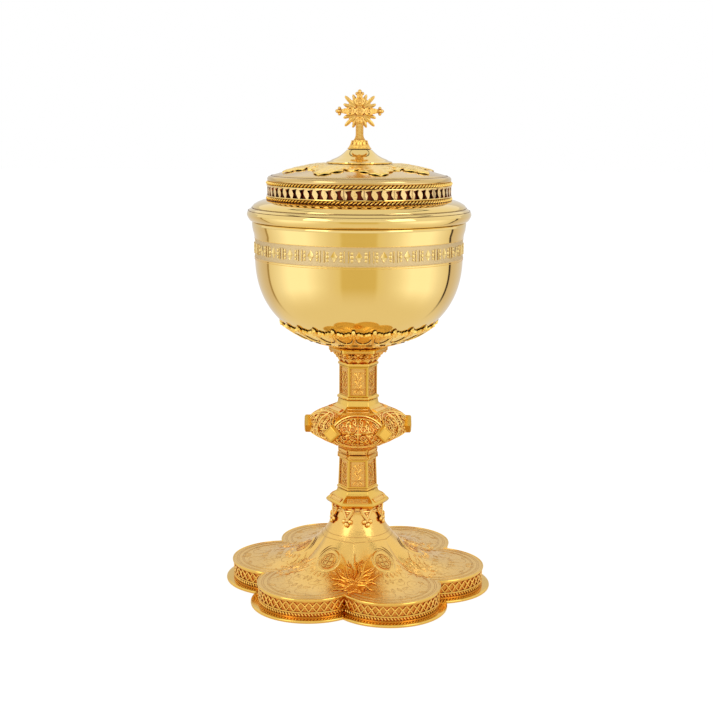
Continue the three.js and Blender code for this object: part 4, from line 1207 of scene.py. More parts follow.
for hand in (1, -1):
    curl = scroll(hand * 1.3, 37.4, 1.15, 1.2, hand, 1.2, 0.6)
    leaf_lines.append(
        [calyx_at(0, across / 4.7, out, 0.7 * mm, 0.9 * wide) for across, out, wide in curl]
    )
    curl = scroll(hand * 3.2, 40.2, 0.8, 1.1, -hand, 0.5, 0.6)
    leaf_lines.append(
        [calyx_at(0, across / 5.2, out, 1.2 * mm, 0.7 * wide) for across, out, wide in curl]
    )
    leaf_lines.append(
        [calyx_at(0, hand * (0.25 + 0.05 * i), 16 + 1.5 * i, 1.2 * mm, 0.9) for i in range(8)]
    )
leaf_lines.append([calyx_at(0, 0, 15.5 + 1.5 * i, 1.25 * mm, 1.2) for i in range(8)])
floor = bmesh.new()
bmesh.ops.create_grid(floor, x_segments=8, y_segments=8, size=1)
for v in floor.verts:
    v.co = Vector(calyx_at(0, v.co.x * 0.95, 35.8 + 4.0 * v.co.y, 0.75 * mm)[:3])
bmesh.ops.solidify(floor, geom=floor.faces, thickness=0.2 * mm)
calyx_relief = wires(leaf_lines, 0.33 * mm)
add(calyx_relief, floor)
for share, radius, size in ((1, 43.4, 0.75), (0.84, 42.3, 0.5), (1.16, 42.3, 0.5), (1, 40.6, 0.5), (0, 33.0, 0.5)):
    x, y, z, _ = calyx_at(0, share, radius, 1.2 * mm)
    bmesh.ops.create_icosphere(
        calyx_relief, subdivisions=1, radius=size * mm, matrix=Matrix.Translation((x, y, z))
    )
add(calyx, copies(calyx_relief, [Matrix.Rotation(turn, 4, "Z") for turn in turns]))
moulding = [(6.4, 0.02), (12.3, 0.02), (12.6, 0.5), (12.9, 1.1), (15.4, 1.5), (16.2, 2.2)]
foot_line = rounded([(r * mm, calyx_base + z * mm) for r, z in moulding], 0.3 * mm, 2)
foot_line += [(15.2 * mm, bowl_surface(15.2 * mm, 0.4 * mm)), (6.4 * mm, calyx_base + 1.35 * mm)]
add(calyx, turned(foot_line, 96, 0, closed=True))
leaf_gilding = gilding(
    "leaf_gilding", (0.98, 0.7, 0.19), (0.7, 0.2, 0.02), 0.24, 0.08, 0.1, 900, cavity=0.45
)
finished("calyx_leaves", calyx, leaf_gilding, "cup", "cast_gold", "calyx", crease=50)
# Painted shadow: near-black wires round the half-round openings and the slots, and under each leaf's notched edge, for
# the shade in the openings and the shadow the leaves cast on the bowl
rims = [
    [calyx_at(0, share * 0.96, radius + 0.3, 1.05 * mm, 0.8) for share, radius in half_round],
    [calyx_at(0, 1 + 0.4 * (t / 2 - 1), 29.0, 1.05 * mm, 1.9) for t in range(5)],
    [calyx_at(0, share, radius + 0.2, 0.45 * mm, 0.22) for share, radius in leaf_edge],
]
rims = copies(wires(rims, 0.3 * mm), [Matrix.Rotation(turn, 4, "Z") for turn in turns])
finished("calyx_painted_shadows", rims, painted_dark, "cup", "cast_gold")

# Bowl
# The cup itself, spun from one sheet: a full round belly that rises into a nearly straight wall.
# A shallow seat for the ornament band is turned in its outside, then it is polished and gilded.

rim_radius = 58.7 * mm
band_low, band_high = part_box("ornament_band")[0].z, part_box("ornament_band")[1].z
wall_lean = (rim_radius - belly_radius) / (bowl_high - bowl_low - belly_height)
bowl_line = []
for i in range(61):
    t = math.pi / 2 * i / 60
    radius = belly_radius * math.sin(t) ** (2 / bowl_power)
    bowl_line.append(
        (radius, bowl_low + belly_height - belly_height * math.cos(t) ** (2 / bowl_power))
    )
bowl_line = [p for p in bowl_line if p[1] < band_low - 0.15 * mm]
groove = belly_radius - 0.45 * mm
bowl_line += [
    (belly_radius - 0.02 * mm, band_low - 0.1 * mm),
    (groove, band_low - 0.02 * mm),
    (groove, band_high + 0.02 * mm),
    (belly_radius + 0.1 * mm, band_high + 0.1 * mm),
    (belly_radius + 0.45 * mm, band_high + 2.5 * mm),
    (rim_radius - 0.45 * mm, bowl_high - 4.5 * mm),
    (rim_radius - 0.15 * mm, bowl_high - 2.5 * mm),
    (rim_radius, bowl_high - 0.9 * mm),
    (rim_radius - 0.3 * mm, bowl_high - 0.15 * mm),
    (rim_radius - 0.75 * mm, bowl_high),
    (rim_radius - 1.3 * mm, bowl_high - 0.3 * mm),
    (rim_radius - bowl_sheet, bowl_high - 1 * mm),
    (rim_radius - bowl_sheet - 0.2 * mm, bowl_high - 6 * mm),
    (belly_radius - bowl_sheet, bowl_low + belly_height),
]
for i in range(40, -1, -1):
    t = math.pi / 2 * i / 40
    radius = (belly_radius - bowl_sheet) * math.sin(t) ** (2 / bowl_power)
    height = (belly_height - bowl_sheet) * math.cos(t) ** (2 / bowl_power)
    bowl_line.append((radius, bowl_low + belly_height - height))
bowl = turned(bowl_line, 240)
mirror_gilding = gilding(
    "mirror_gilding", (0.85, 0.63, 0.24), (0.83, 0.59, 0.21), 0.035, 0.03, 0.008, 60
)
finished("bowl_spun", bowl, mirror_gilding, "cup", "polished_gold", "cup_bowl", crease=50)

# Ornament band
# A satin zone round the bowl between two fine lines. Lozenges, rosettes and small studs stand a
# little proud of it and are burnished, so that they read gold against the paler ground.

band_material = gilding("satin_band", (0.68, 0.52, 0.28), (0.62, 0.45, 0.2), 0.4, 0.1, 0.25, 1500)
band_radius = belly_radius + 0.05 * mm
band_outline = [
    (groove + 0.02 * mm, band_low),
    (band_radius, band_low),
    (band_radius, band_low + 0.5 * mm),
    (band_radius - 0.12 * mm, band_low + 0.6 * mm),
    (band_radius - 0.12 * mm, band_high - 0.6 * mm),
    (band_radius, band_high - 0.5 * mm),
    (band_radius, band_high),
    (groove + 0.02 * mm, band_high),
]
finished("band_zone", turned(band_outline, 240, closed=True), band_material, "cup", "satin_band", "ornament_band")
band_middle = (band_low + band_high) / 2
motif = bmesh.new()
bmesh.ops.create_cone(
    motif, cap_ends=True, segments=4, radius1=3.2 * mm, radius2=2.7 * mm, depth=0.4 * mm,
    matrix=Matrix.Rotation(math.pi / 2, 4, "Y") @ Matrix.Diagonal((1, 0.62, 1, 1)),
)
bmesh.ops.inset_individual(
    motif, faces=[max(motif.faces, key=lambda f: f.calc_center_median().x)], thickness=0.6 * mm, depth=-0.2 * mm
)
for side in (-1, 1):
    for up in (-1.9, 0, 1.9):
        bmesh.ops.create_uvsphere(
            motif, u_segments=8, v_segments=6, radius=(0.75 if up else 1.0) * mm,
            matrix=Matrix.Translation((0, side * 3.6 * mm, up * mm)) @ Matrix.Diagonal((0.4, 1, 1, 1)),
        )
    block(
        motif, (0.35 * mm, 0.5 * mm, 6 * mm), Matrix.Translation((0, side * 5.3 * mm, 0)), 0.1 * mm
    )
motif_count = 28
motif_places = [
    Matrix.Rotation(i * 2 * math.pi / motif_count - math.pi / 2, 4, "Z")
    @ Matrix.Translation((band_radius - 0.1 * mm, 0, band_middle))
    for i in range(motif_count)
]
finished("band_ornament", copies(motif, motif_places), mirror_gilding, "cup", "satin_band")


def round_line(radius, height):
    """A closed line of points round the axis, for a fine wire."""
    turns = [i * math.pi / 120 for i in range(241)]
    return [(radius * math.cos(t), radius * math.sin(t), height) for t in turns]


border_heights = (band_low + 0.02 * mm, band_high - 0.02 * mm, band_low - 0.9 * mm)
borders = [round_line(band_radius, height) for height in border_heights]
finished("band_lines", wires(borders, 0.14 * mm), cast_gilding, "cup", "satin_band")

# Shoulder of the lid
# Spun from one sheet: a beaded lip that covers the cup's rim, a hollow shoulder, and the upright
# drum behind the gallery. It is polished outside. The drum is painted near-black red as the shade
# behind the gallery's openings, and three dark lines painted round the shoulder stand for its dark
# reflections.

lid_low, lid_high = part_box("lid_shoulder")[0].z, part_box("lid_shoulder")[1].z
drum_low, drum_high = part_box("lower_rope_ring")[0].z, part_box("upper_rope_ring")[1].z
drum_radius = 48.6 * mm
shoulder_points = [
    (56.55, 0.02), (59.1, 0.02), (59.9, 0.6), (60.5, 1.5), (61.05, 2.5), (61.35, 3.4), (61.3, 4.3),
    (60.9, 5.3), (60.1, 6.2), (59.2, 6.8), (58.6, 7.1), (58.5, 7.7), (57.5, 8.9), (55.4, 10.1),
    (53.0, 11.0), (50.7, 11.45), (48.6, 11.5),
]
lid_line = [(r * mm, lid_low + z * mm) for r, z in shoulder_points]
lid_line += [
    (drum_radius, lid_high - 0.02 * mm),
    (drum_radius - 1.3 * mm, lid_high - 0.02 * mm),
    (drum_radius - 1.3 * mm, lid_low + 10.2 * mm),
    (52.5 * mm, lid_low + 9.7 * mm),
    (55.5 * mm, lid_low + 8.4 * mm),
    (57.3 * mm, lid_low + 6.6 * mm),
    (56.55 * mm, lid_low + 3.6 * mm),
]
shoulder = turned(lid_line, 240, closed=True)
# The drum's face behind the gallery takes the dark red: painted shade behind the openings
for face in shoulder.faces:
    middle = face.calc_center_median()
    face.material_index = int(
        middle.z > drum_low + 0.2 * mm and abs(middle.xy.length - drum_radius) < 0.1 * mm
    )
# Near-black red: painted shade on the drum behind the gallery and in the ropes' cores
dark_red_shade = gilding(
    "dark_red_shade", (0.14, 0.028, 0.012), (0.06, 0.012, 0.006), 0.3, 0.15, 0.3, 900, cavity=0.8
)
# Painted reflection: three near-black wires round the shoulder for the dark lines it mirrors
reflection_line_places = ((58.62, 7.35), (50.6, 11.5), (60.62, 5.75))
reflection_lines = [round_line(radius * mm, lid_low + height * mm) for radius, height in reflection_line_places]
finished("lid_shoulder_painted_reflections", wires(reflection_lines, 0.13 * mm), painted_dark, "lid", "polished_gold")
skins = [mirror_gilding, dark_red_shade]
finished("lid_shoulder_spun", shoulder, skins, "lid", "polished_gold", "lid_shoulder", crease=50)

# Locating ring
# A plain hoop soldered inside the lip, which drops into the cup's mouth and keeps the lid centred.
# Its lower edge is rounded so that it finds the mouth, and it is gilded with the lid.

ring_low, ring_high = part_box("locating_ring")[0].z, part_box("locating_ring")[1].z
hoop = rounded(
    [
        (55.25 * mm, ring_high - 0.02 * mm),
        (55.25 * mm, ring_low),
        (56.35 * mm, ring_low),
        (56.35 * mm, ring_high - 0.02 * mm),
    ],
    0.4 * mm,
)
finished("lid_locating_hoop", turned(hoop, 192, closed=True), mirror_gilding, "lid", "polished_gold", "locating_ring")

# Rope rings
# Two hoops of twisted wire soldered round the drum, above and below the pierced strip. Each is a
# row of slanting strands that rise to the right, over a core painted dark red as the shade between
# the strands.

rope_strands = 140
rope_radius = 49.95 * mm
for node in ("lower_rope_ring", "upper_rope_ring"):
    low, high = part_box(node)[0].z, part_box(node)[1].z
    rope = bmesh.new()
    bmesh.ops.create_uvsphere(
        rope, u_segments=8, v_segments=6, radius=0.5,
        matrix=Matrix.Rotation(math.radians(-48), 4, "X") @ Matrix.Diagonal((1.9 * mm, 1.2 * mm, 3.3 * mm, 1)),
    )
    reach = max(v.co.z for v in rope.verts)
    for v in rope.verts:
        v.co.z *= (high - low) / 2 / reach
    rope_places = [
        Matrix.Rotation(i * 2 * math.pi / rope_strands, 4, "Z") @ Matrix.Translation(
            (rope_radius, 0, (low + high) / 2)
        )
        for i in range(rope_strands)
    ]
    rope = copies(rope, rope_places)
    strand_faces = len(rope.faces)
    # The core between the strands takes the dark red: painted shade
    core = [(rope_radius - 1.2 * mm, low + 0.02 * mm), (rope_radius - 0.4 * mm, low + 0.02 * mm)]
    core += [(rope_radius - 0.4 * mm, high - 0.02 * mm), (rope_radius - 1.2 * mm, high - 0.02 * mm)]
    add(rope, turned(core, 128, closed=True))
    for number, face in enumerate(rope.faces):
        face.material_index = int(number >= strand_faces)
    finished(node + "_twisted", rope, [leaf_gilding, dark_red_shade], "lid", "cast_gold", node)

# Pierced gallery
# A strip pierced with sixty waisted openings that lean to the left, bent round the drum a little
# way off it. A pale rounded fillet runs along each edge.

gallery_cells = 60
gallery_low, gallery_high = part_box("pierced_gallery")[0].z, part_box("pierced_gallery")[1].z
gallery_radius = 50.2 * mm
cell = 2 * math.pi * gallery_radius / gallery_cells
tall = gallery_high - gallery_low
opening = []
for side in (1, -1):
    for i in range(9):
        t = i / 8
        up = (t - 0.5) * side
        half = (0.95 + 1.15 * (2 * abs(t - 0.5)) ** 1.35) * mm
        opening.append((side * half - 0.6 * mm * up * 2, up * 4.9 * mm))
strip_cell = pierced(
    [(-cell / 2, -tall / 2), (cell / 2, -tall / 2), (cell / 2, tall / 2), (-cell / 2, tall / 2)], [opening], 0.9 * mm
)
for v in strip_cell.verts:
    angle = v.co.x / gallery_radius
    radius = gallery_radius - 0.45 * mm + v.co.z
    v.co = Vector(
        (radius * math.cos(angle), radius * math.sin(angle), (gallery_low + gallery_high) / 2 + v.co.y)
    )
cell_turn = 2 * math.pi / gallery_cells
cell_places = [Matrix.Rotation(i * cell_turn, 4, "Z") for i in range(gallery_cells)]
gallery = copies(strip_cell, cell_places)
bmesh.ops.remove_doubles(gallery, verts=gallery.verts, dist=1e-6)
bmesh.ops.recalc_face_normals(gallery, faces=gallery.faces)
gallery_gilding = gilding(
    "gallery_gilding", (0.95, 0.68, 0.3), (0.6, 0.16, 0.03), 0.2, 0.08, 0.12, 900, cavity=0.7
)
finished(
    "gallery_strip", gallery, gallery_gilding, "lid", "cast_gold", "pierced_gallery", crease=30
)
fillet_heights = (gallery_low + 0.4 * mm, gallery_high - 0.4 * mm)
fillets = [round_line(gallery_radius + 0.02 * mm, height) for height in fillet_heights]
finished("gallery_fillets", wires(fillets, 0.42 * mm, 2), mirror_gilding, "lid", "cast_gold")

# Dome of the lid
# The lid's top, a shallow spun saucer with a turned-down edge, soldered on the drum and polished.
# One fine groove runs round it just inside the edge, with its shade painted in as a near-black wire.

dome_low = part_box("lid_dome")[0].z
dome_rim = 50.2 * mm


def dome_at(radius):
    """Height of the dome's outside at a radius."""
    return dome_low + 10 * mm - 7.7 * mm * (radius / dome_rim) ** 2


dome_line = [(2.2 * mm, dome_at(0)), (8 * mm, dome_at(8 * mm))]
dome_line += [(r * mm, dome_at(r * mm)) for r in range(12, 48, 3)]
dome_line += [
    (47.6 * mm, dome_at(47.6 * mm)),
    (47.8 * mm, dome_at(47.8 * mm) - 0.2 * mm),
    (48.1 * mm, dome_at(48.1 * mm) - 0.2 * mm),
    (48.3 * mm, dome_at(48.3 * mm)),
    (49.4 * mm, dome_at(49.4 * mm) - 0.05 * mm),
    (50.0 * mm, dome_low + 1.9 * mm),
    (50.2 * mm, dome_low + 1.1 * mm),
    (50.1 * mm, dome_low + 0.4 * mm),
    (49.8 * mm, dome_low + 0.02 * mm),
    (46.0 * mm, dome_low + 0.02 * mm),
    (45.8 * mm, dome_at(45.8 * mm) - 1.3 * mm),
    (33.0 * mm, dome_at(33 * mm) - 1.3 * mm),
    (20.0 * mm, dome_at(20 * mm) - 1.3 * mm),
    (6.0 * mm, dome_at(6 * mm) - 1.3 * mm),
    (2.2 * mm, dome_at(6 * mm) - 1.3 * mm),
]
dome_gilding = gilding("dome_gilding", (0.68, 0.48, 0.19), (0.68, 0.47, 0.2), 0.14, 0.05, 0.01, 80)
dome = turned(dome_line, 240, closed=True)
finished("lid_dome_spun", dome, dome_gilding, "lid", "polished_gold", "lid_dome", crease=50)
# Painted shade: a near-black wire lies in the groove
rim_line = round_line(48.0 * mm, dome_at(48 * mm) - 0.1 * mm)
finished("lid_dome_line", wires([rim_line], 0.22 * mm), painted_dark, "lid", "polished_gold")

# Leaf wreath
# Eight cast acanthus leaves lie on the dome round the bell, tips outwards. Each has a raised rib and
# lobed sides with curled edges, and a smaller leaf fills each gap behind.

wreath_inner, wreath_reach = 17.9 * mm, 42.8 * mm
wreath = bmesh.new()
for i in range(16):
    large = i % 2 == 0
    length = wreath_reach - wreath_inner if large else 16.5 * mm
    blade = cast_leaf(length, (23 if large else 14) * mm, 4 if large else 3, 0, 0.5 * mm, 30, 12)
    middle = math.radians(15 - 90 + 22.5 * i)
    for v in blade.verts:
        out = wreath_inner + v.co.y
        turn = middle + v.co.x / max(out, 24 * mm)
        ripple = 0.5 * mm * abs(math.sin(v.co.x / (1.5 * mm))) * min(1, abs(v.co.x) / (2 * mm))
        rise = min(1, (out - wreath_inner) / (7 * mm))
        height = dome_at(out) + (v.co.z + ripple) * (0.3 + 0.7 * rise) + (0.35 if large else 0.05) * rise * mm
        v.co = Vector((out * math.cos(turn), out * math.sin(turn), height))
    add(wreath, blade)
finished("wreath_leaves", wreath, leaf_gilding, "lid", "cast_gold", "leaf_wreath", crease=60)

# Bell of the lid
# A small spun cone with hollow sides that carries the cross. It has a bead round its foot, is
# polished bright, and clamps the wreath on the dome.

bell_low, bell_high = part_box("lid_bell")[0].z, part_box("lid_bell")[1].z
bell_points = [
    (2.2, 1.4), (15.6, 1.4), (16.6, 0.02), (17.4, 0.0), (17.9, 0.3), (18.0, 0.7), (17.8, 1.1),
    (17.2, 1.35), (16.4, 1.5), (15.8, 1.75), (15.0, 2.25), (12.3, 3.35), (10.1, 4.6), (8.6, 5.8),
    (7.3, 7.0), (6.8, 7.58), (2.2, 7.58),
]
bell_line = [(r * mm, bell_low + z * mm) for r, z in bell_points]
cone = turned(bell_line, 144, closed=True)
finished("lid_bell_spun", cone, mirror_gilding, "lid", "polished_gold", "lid_bell", crease=30)

# Leaf cap
# A small cast collar of upright leaves between the bell and the cross, narrowing upwards, with a
# bead at its foot. The gaps between its leaves are darker, partly the metal's red tone in its
# recesses and partly painted shade.

cap_low, cap_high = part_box("leaf_cap")[0].z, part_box("leaf_cap")[1].z
cap_core = [(2.2, 0.02), (5.9, 0.02), (6.6, 0.5), (6.3, 1.0), (5.4, 1.6), (4.4, 3.2), (3.6, 5.18), (2.2, 5.18)]
cap = turned([(r * mm, cap_low + z * mm) for r, z in cap_core], 64, closed=True)
for i in range(10):
    blade = cast_leaf(4.4 * mm, 3.6 * mm, 2, 0, 0.35 * mm, 10, 6)
    middle = math.radians(36 * i - 90)
    for v in blade.verts:
        up = v.co.y
        share = up / (4.4 * mm)
        radius = (6.4 - 2.3 * share + 0.5 * share**4) * mm + v.co.z - 0.4 * mm
        turn = middle + v.co.x / (5.4 * mm)
        v.co = Vector((radius * math.cos(turn), radius * math.sin(turn), cap_low + 0.5 * mm + up))
    add(cap, blade)
finished("cap_leaves", cap, cast_gilding, "lid", "cast_gold", "leaf_cap")

# Cross
# The cast cross on the lid, screwed down through bell and dome by its stud: a ribbed shaft, two arms
# and a head that end in buds, scrollwork round the crossing, and three rays in each corner.

cross_low, cross_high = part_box("finial_cross")[0].z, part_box("finial_cross")[1].z
cross_centre = cross_low + 15.3 * mm
half_span = 13.2 * mm
cross = bmesh.new()
shaft = [(3.1, 0.02), (2.35, 1.4), (2.1, 2.6), (2.1, 11.5), (1.6, 12.6), (1.45, 15.3), (1.35, 22.6)]
for (low_half, low_z), (high_half, high_z) in zip(shaft, shaft[1:]):
    made = bmesh.ops.create_cube(
        cross, size=1,
        matrix=Matrix.Translation((0, 0, cross_low + (low_z + high_z) / 2 * mm))
        @ Matrix.Diagonal((1, 1, (high_z - low_z) * mm, 1)),
    )["verts"]
    for v in made:
        half = (low_half if v.co.z < cross_low + (low_z + high_z) / 2 * mm else high_half) * mm
        v.co.x *= 2 * half
        v.co.y *= 2.4 * mm
block(cross, (20.4 * mm, 2.0 * mm, 2.3 * mm), Matrix.Translation((0, 0, cross_centre)), 0.4 * mm)
ribs = []
for side in (-1, 1):
    for front in (-1, 1):
        ribs.append(
            [(side * 1.5 * mm, front * 1.25 * mm, cross_low + h * mm) for h in (1.0, 6.0, 12.0)]
        )
        ribs.append(
            [(side * 0.9 * mm, front * 1.2 * mm, cross_low + h * mm) for h in (12.4, 18.0, 23.0)]
        )
        ribs.append([(side * x * mm, front * 1.1 * mm, cross_centre + up * mm) for x, up in ((2, 0.85), (10.2, 0.85))])
        ribs.append([(side * x * mm, front * 1.1 * mm, cross_centre - up * mm) for x, up in ((2, 0.85), (10.2, 0.85))])
add(cross, wires(ribs, 0.32 * mm))


def cross_bud(x, z, turn):
    """A three-lobed bud at the end of an arm, with its points flared."""
    place = Matrix.Translation((x, 0, z)) @ Matrix.Rotation(turn, 4, "Y")
    shape = bmesh.new()
    lobes = ((0, 0.9, 1.15, 1.25), (-1.5, 0, 0.95, 1.0), (1.5, 0, 0.95, 1.0))
    lobes += ((0, -0.9, 0.9, 0.8), (0, 0, 1.1, 1.0))
    for across, up, size, long in lobes:
        bmesh.ops.create_icosphere(
            shape, subdivisions=2, radius=size * mm,
            matrix=place @ Matrix.Translation((across * mm, 0, up * mm)) @ Matrix.Diagonal((1, 1.15, long, 1)),
        )
    return shape


add(cross, cross_bud(half_span - 2.3 * mm, cross_centre, math.pi / 2))
add(cross, cross_bud(-half_span + 2.3 * mm, cross_centre, -math.pi / 2))
add(cross, cross_bud(0, cross_high - 2.4 * mm, 0))
rosettes = []
rosette_places = ((-5.2, 0, 2.5), (5.2, 0, 2.5), (0, 5.2, 2.5), (0, 0, 2.3))
rosette_places += ((-7.6, 0, 1.5), (7.6, 0, 1.5), (0, 8.0, 1.4), (0, -4.6, 2.0))
for x, up, size in rosette_places:
    for front in (-1, 1):
        for hand in (-1, 1):
            for start in (0, 3.14):
                line = scroll(x, up, size, 1.0, hand, start, 0.7)
                rosettes.append(
                    [(a * mm, front * 1.15 * mm, cross_centre + h * mm, w) for a, h, w in line]
                )
add(cross, wires(rosettes, 0.42 * mm))
for quadrant in range(4):
    for spread, length, swell in ((-22, 9.6, 1.15), (0, 11.4, 1.2), (22, 9.6, 1.15), (-11, 7.2, 1.5), (11, 7.2, 1.5)):
        turn = math.radians(45 + 90 * quadrant + spread)
        petal = bmesh.new()
        bmesh.ops.create_icosphere(
            petal, subdivisions=3, radius=1,
            matrix=Matrix.Translation((0, 0, cross_centre)) @ Matrix.Rotation(turn, 4, "Y"),
        )
        for v in petal.verts:
            local = Matrix.Rotation(-turn, 4, "Y") @ (v.co - Vector((0, 0, cross_centre)))
            share = (local.z + 1) / 2
            width = swell * (0.6 + 0.5 * share)
            spot = Vector(
                (local.x * width * mm, local.y * 0.6 * mm, (2.0 + (length - 2.0) * share) * mm)
            )
            v.co = Matrix.Rotation(turn, 4, "Y") @ spot + Vector((0, 0, cross_centre))
        add(cross, petal)
cross_gilding = gilding(
    "cross_gilding", (0.8, 0.5, 0.14), (0.5, 0.14, 0.015), 0.18, 0.1, 0.2, 900, cavity=1.0
)
finished("cross_cast", cross, cross_gilding, "lid", "cast_gold", "finial_cross", crease=35)

# Socket, tie rod, stud, nuts and washers
# The plain steel parts that hold the cup and the lid together, turned and left bright. The socket
# is hard-soldered under the bowl, and the rod, stud, nuts and washers are hidden in the hollows.

steel = bpy.data.materials.new("turned_steel")
steel.use_nodes = True
nodes, links = steel.node_tree.nodes, steel.node_tree.links
shader = nodes["Principled BSDF"]
shader.inputs["Metallic"].default_value = 1
place = nodes.new("ShaderNodeTexCoord")
turning = nodes.new("ShaderNodeTexWave")
turning.bands_direction = "Z"
turning.inputs["Scale"].default_value = 900
turning.inputs["Distortion"].default_value = 1.5
links.new(place.outputs["Object"], turning.inputs["Vector"])
grey = nodes.new("ShaderNodeMix")
grey.data_type = "RGBA"
grey.inputs["A"].default_value = (0.42, 0.42, 0.41, 1)
grey.inputs["B"].default_value = (0.34, 0.34, 0.34, 1)
links.new(turning.outputs["Fac"], grey.inputs["Factor"])
links.new(grey.outputs["Result"], shader.inputs["Base Color"])
rough = nodes.new("ShaderNodeMapRange")
rough.inputs["To Min"].default_value = 0.3
rough.inputs["To Max"].default_value = 0.45
links.new(turning.outputs["Fac"], rough.inputs["Value"])
links.new(rough.outputs["Result"], shader.inputs["Roughness"])
for node in ("cup_socket", "tie_rod", "foot_nut", "foot_washer", "finial_nut", "finial_washer", "finial_stud"):
    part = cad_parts[node]
    part.data.materials.clear()
    part.data.materials.append(steel)

# Floor, light and camera
# A plain white floor under a white room with two large soft lamps in front, and a camera a little
# above the knop that looks down on the cup from 0.7 m.

def staged(name, bm, material):
    """Puts a shape of the studio in the scene."""
    mesh = bpy.data.meshes.new(name)
    bm.to_mesh(mesh)
    bm.free()
    mesh.materials.append(material)
    made = bpy.data.objects.new(name, mesh)
    bpy.context.scene.collection.objects.link(made)
    return made


paper = bpy.data.materials.new("white_paper")
paper.use_nodes = True
nodes, links = paper.node_tree.nodes, paper.node_tree.links
shader = nodes["Principled BSDF"]
shader.inputs["Base Color"].default_value = (0.9, 0.9, 0.9, 1)
shader.inputs["Roughness"].default_value = 0.9
shader.inputs["Specular IOR Level"].default_value = 0.1
glow = nodes.new("ShaderNodeEmission")
glow.inputs["Strength"].default_value = 1.15
rays = nodes.new("ShaderNodeLightPath")
seen = nodes.new("ShaderNodeMath")
seen.operation = "MULTIPLY"
seen.inputs[1].default_value = 0.75
links.new(rays.outputs["Is Camera Ray"], seen.inputs[0])
blend = nodes.new("ShaderNodeMixShader")
links.new(seen.outputs["Value"], blend.inputs["Fac"])
links.new(shader.outputs["BSDF"], blend.inputs[1])
links.new(glow.outputs["Emission"], blend.inputs[2])
links.new(blend.outputs["Shader"], nodes["Material Output"].inputs["Surface"])
sheet_of_paper = bmesh.new()
bmesh.ops.create_grid(sheet_of_paper, x_segments=2, y_segments=2, size=6)
staged("floor", sheet_of_paper, paper)

world = bpy.data.worlds.new("white_room")
bpy.context.scene.world = world
world.use_nodes = True
nodes, links = world.node_tree.nodes, world.node_tree.links
back = nodes["Background"]
back.inputs["Color"].default_value = (1, 1, 1, 1)
rays = nodes.new("ShaderNodeLightPath")
first = nodes.new("ShaderNodeMath")
first.operation = "MAXIMUM"
links.new(rays.outputs["Is Camera Ray"], first.inputs[0])
links.new(rays.outputs["Is Glossy Ray"], first.inputs[1])
second = nodes.new("ShaderNodeMath")
second.operation = "MAXIMUM"
links.new(first.outputs["Value"], second.inputs[0])
links.new(rays.outputs["Is Transmission Ray"], second.inputs[1])
level = nodes.new("ShaderNodeMapRange")
level.inputs["To Min"].default_value = 0.8
level.inputs["To Max"].default_value = 1.0
links.new(second.outputs["Value"], level.inputs["Value"])
links.new(level.outputs["Result"], back.inputs["Strength"])


def mirrored(made):
    """Leaves a studio shape to the mirror-bright metal alone."""
    made.visible_camera = False
    made.visible_diffuse = False
    made.visible_shadow = False


# The table round the cup as the metal mirrors it: dark towards the camera, bright at both sides
table = bpy.data.materials.new("table_top")
table.use_nodes = True
nodes, links = table.node_tree.nodes, table.node_tree.links
nodes.clear()
place = nodes.new("ShaderNodeTexCoord")
facing = nodes.new("ShaderNodeMapping")
facing.inputs["Rotation"].default_value = (0, 0, math.pi / 2)
links.new(place.outputs["Object"], facing.inputs["Vector"])
round_cup = nodes.new("ShaderNodeTexGradient")
round_cup.gradient_type = "RADIAL"
links.new(facing.outputs["Vector"], round_cup.inputs["Vector"])
far = nodes.new("ShaderNodeValToRGB")
links.new(round_cup.outputs["Fac"], far.inputs["Fac"])
dark_line = (0.03, 0.02, 0.02)
stops = [
    (0, (0.5, 0.42, 0.21)),
    (17.5, (0.51, 0.43, 0.22)),
    (20.5, (0.58, 0.53, 0.37)),
    (30, (0.6, 0.56, 0.46)),
    (42, (0.68, 0.67, 0.62)),
    (58, (0.84, 0.86, 0.9)),
    (82, (0.84, 0.86, 0.9)),
    (97, (0.68, 0.68, 0.68)),
    (114, (0.58, 0.54, 0.45)),
    (114.5, dark_line),
    (118.5, dark_line),
    (119, (0.48, 0.42, 0.36)),
    (140, (0.5, 0.47, 0.45)),
    (180, (0.5, 0.48, 0.48)),
]
faint_line = (0.3, 0.23, 0.13)
left = [(-azimuth, faint_line if colour == dark_line else colour) for azimuth, colour in stops[:0:-1]]
stops = left + stops
while len(far.color_ramp.elements) < len(stops):
    far.color_ramp.elements.new(1)
for element, (azimuth, colour) in zip(far.color_ramp.elements, stops):
    element.position = 0.5 + azimuth / 360
    element.color = (*colour, 1)
distance = nodes.new("ShaderNodeVectorMath")
distance.operation = "LENGTH"
links.new(place.outputs["Object"], distance.inputs[0])
away = nodes.new("ShaderNodeMapRange")
away.interpolation_type = "SMOOTHSTEP"
away.inputs["From Min"].default_value = 0.15
away.inputs["From Max"].default_value = 0.42
links.new(distance.outputs["Value"], away.inputs["Value"])
top = nodes.new("ShaderNodeMix")
top.data_type = "RGBA"
top.inputs["A"].default_value = (0.59, 0.55, 0.46, 1)
links.new(far.outputs["Color"], top.inputs["B"])
links.new(away.outputs["Result"], top.inputs["Factor"])
light = nodes.new("ShaderNodeEmission")
light.inputs["Strength"].default_value = 1.56
links.new(top.outputs["Result"], light.inputs["Color"])
output = nodes.new("ShaderNodeOutputMaterial")
links.new(light.outputs["Emission"], output.inputs["Surface"])
disc = bmesh.new()
bmesh.ops.create_circle(
    disc, cap_ends=True, segments=64, radius=3, matrix=Matrix.Translation((0, 0, 0.05 * mm))
)
mirrored(staged("table_top", disc, table))


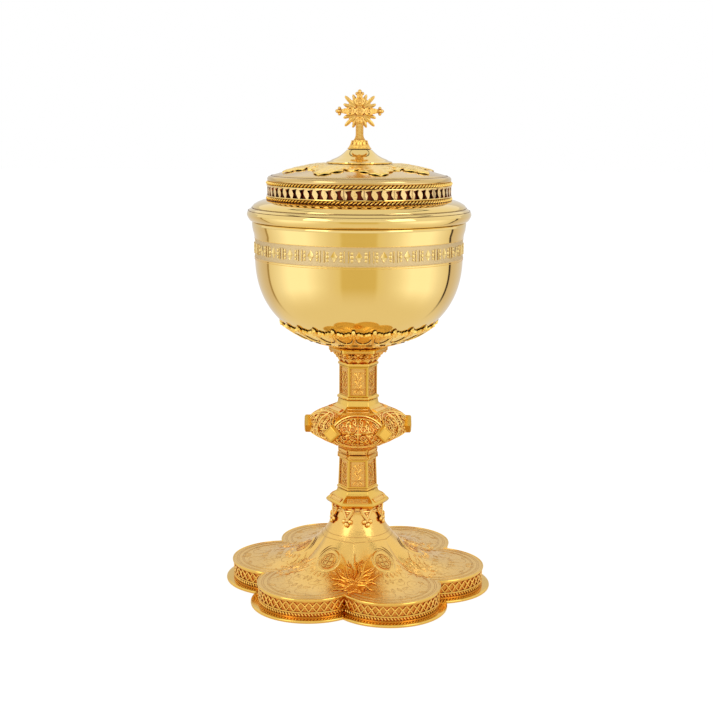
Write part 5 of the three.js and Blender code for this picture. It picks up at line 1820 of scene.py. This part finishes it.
def glowing(name, colour):
    """A studio surface that shines evenly in one colour."""
    material = bpy.data.materials.new(name)
    material.use_nodes = True
    nodes, links = material.node_tree.nodes, material.node_tree.links
    nodes.clear()
    light = nodes.new("ShaderNodeEmission")
    light.inputs["Color"].default_value = colour
    output = nodes.new("ShaderNodeOutputMaterial")
    links.new(light.outputs["Emission"], output.inputs["Surface"])
    return material


# The soft lamp overhead, as the metal mirrors it: a bright panel in a thin black frame
panel = bmesh.new()
bmesh.ops.create_grid(
    panel, x_segments=1, y_segments=1, size=0.5,
    matrix=Matrix.Translation((0, -0.3, 1.25)) @ Matrix.Diagonal((1.5, 1.8, 1, 1)),
)
bmesh.ops.inset_individual(panel, faces=panel.faces[:], thickness=0.11)
frame_edge = glowing("lamp_frame", (0.02, 0.02, 0.02, 1))
bright_panel = glowing("lamp_panel", (0.92, 0.92, 0.9, 1))
middle = min(panel.faces, key=lambda f: (f.calc_center_median() - Vector((0, -0.3, 1.25))).length)
for face in panel.faces:
    face.material_index = int(face is not middle)
softbox = staged("softbox", panel, bright_panel)
softbox.data.materials.append(frame_edge)
mirrored(softbox)

# The wall behind, a little darker than the room
wall_grey = glowing("back_wall", (0.76, 0.75, 0.75, 1))
screen = bmesh.new()
bmesh.ops.create_grid(
    screen, x_segments=1, y_segments=1, size=0.5,
    matrix=Matrix.Translation((0, 1.8, 0.45)) @ Matrix.Rotation(math.pi / 2, 4, "X") @ Matrix.Diagonal((5, 0.9, 1, 1)),
)
mirrored(staged("back_wall", screen, wall_grey))

for name, side in (("lamp_left", -1), ("lamp_right", 1)):
    lamp = bpy.data.lights.new(name, "AREA")
    lamp.shape = "RECTANGLE"
    lamp.size = 0.9
    lamp.size_y = 1.4
    lamp.energy = 5.5
    holder = bpy.data.objects.new(name, lamp)
    bpy.context.scene.collection.objects.link(holder)
    place = Vector((side * 1.2, -1.2, 1.1))
    holder.location = place
    holder.rotation_euler = (Vector((0, 0, 0.15)) - place).to_track_quat("-Z", "Y").to_euler()

lens = bpy.data.cameras.new("camera")
lens.lens = 65.1
lens.sensor_width = 36
camera = bpy.data.objects.new("camera", lens)
bpy.context.scene.collection.objects.link(camera)
camera.matrix_world = (
    Matrix.Translation((-0.0010, -0.7095, 0.2616))
    @ Matrix.Rotation(math.radians(79.59), 4, "X")
    @ Matrix.Rotation(math.radians(0.31), 4, "Z")
)
bpy.context.scene.camera = camera
bpy.context.scene.view_settings.view_transform = "Standard"
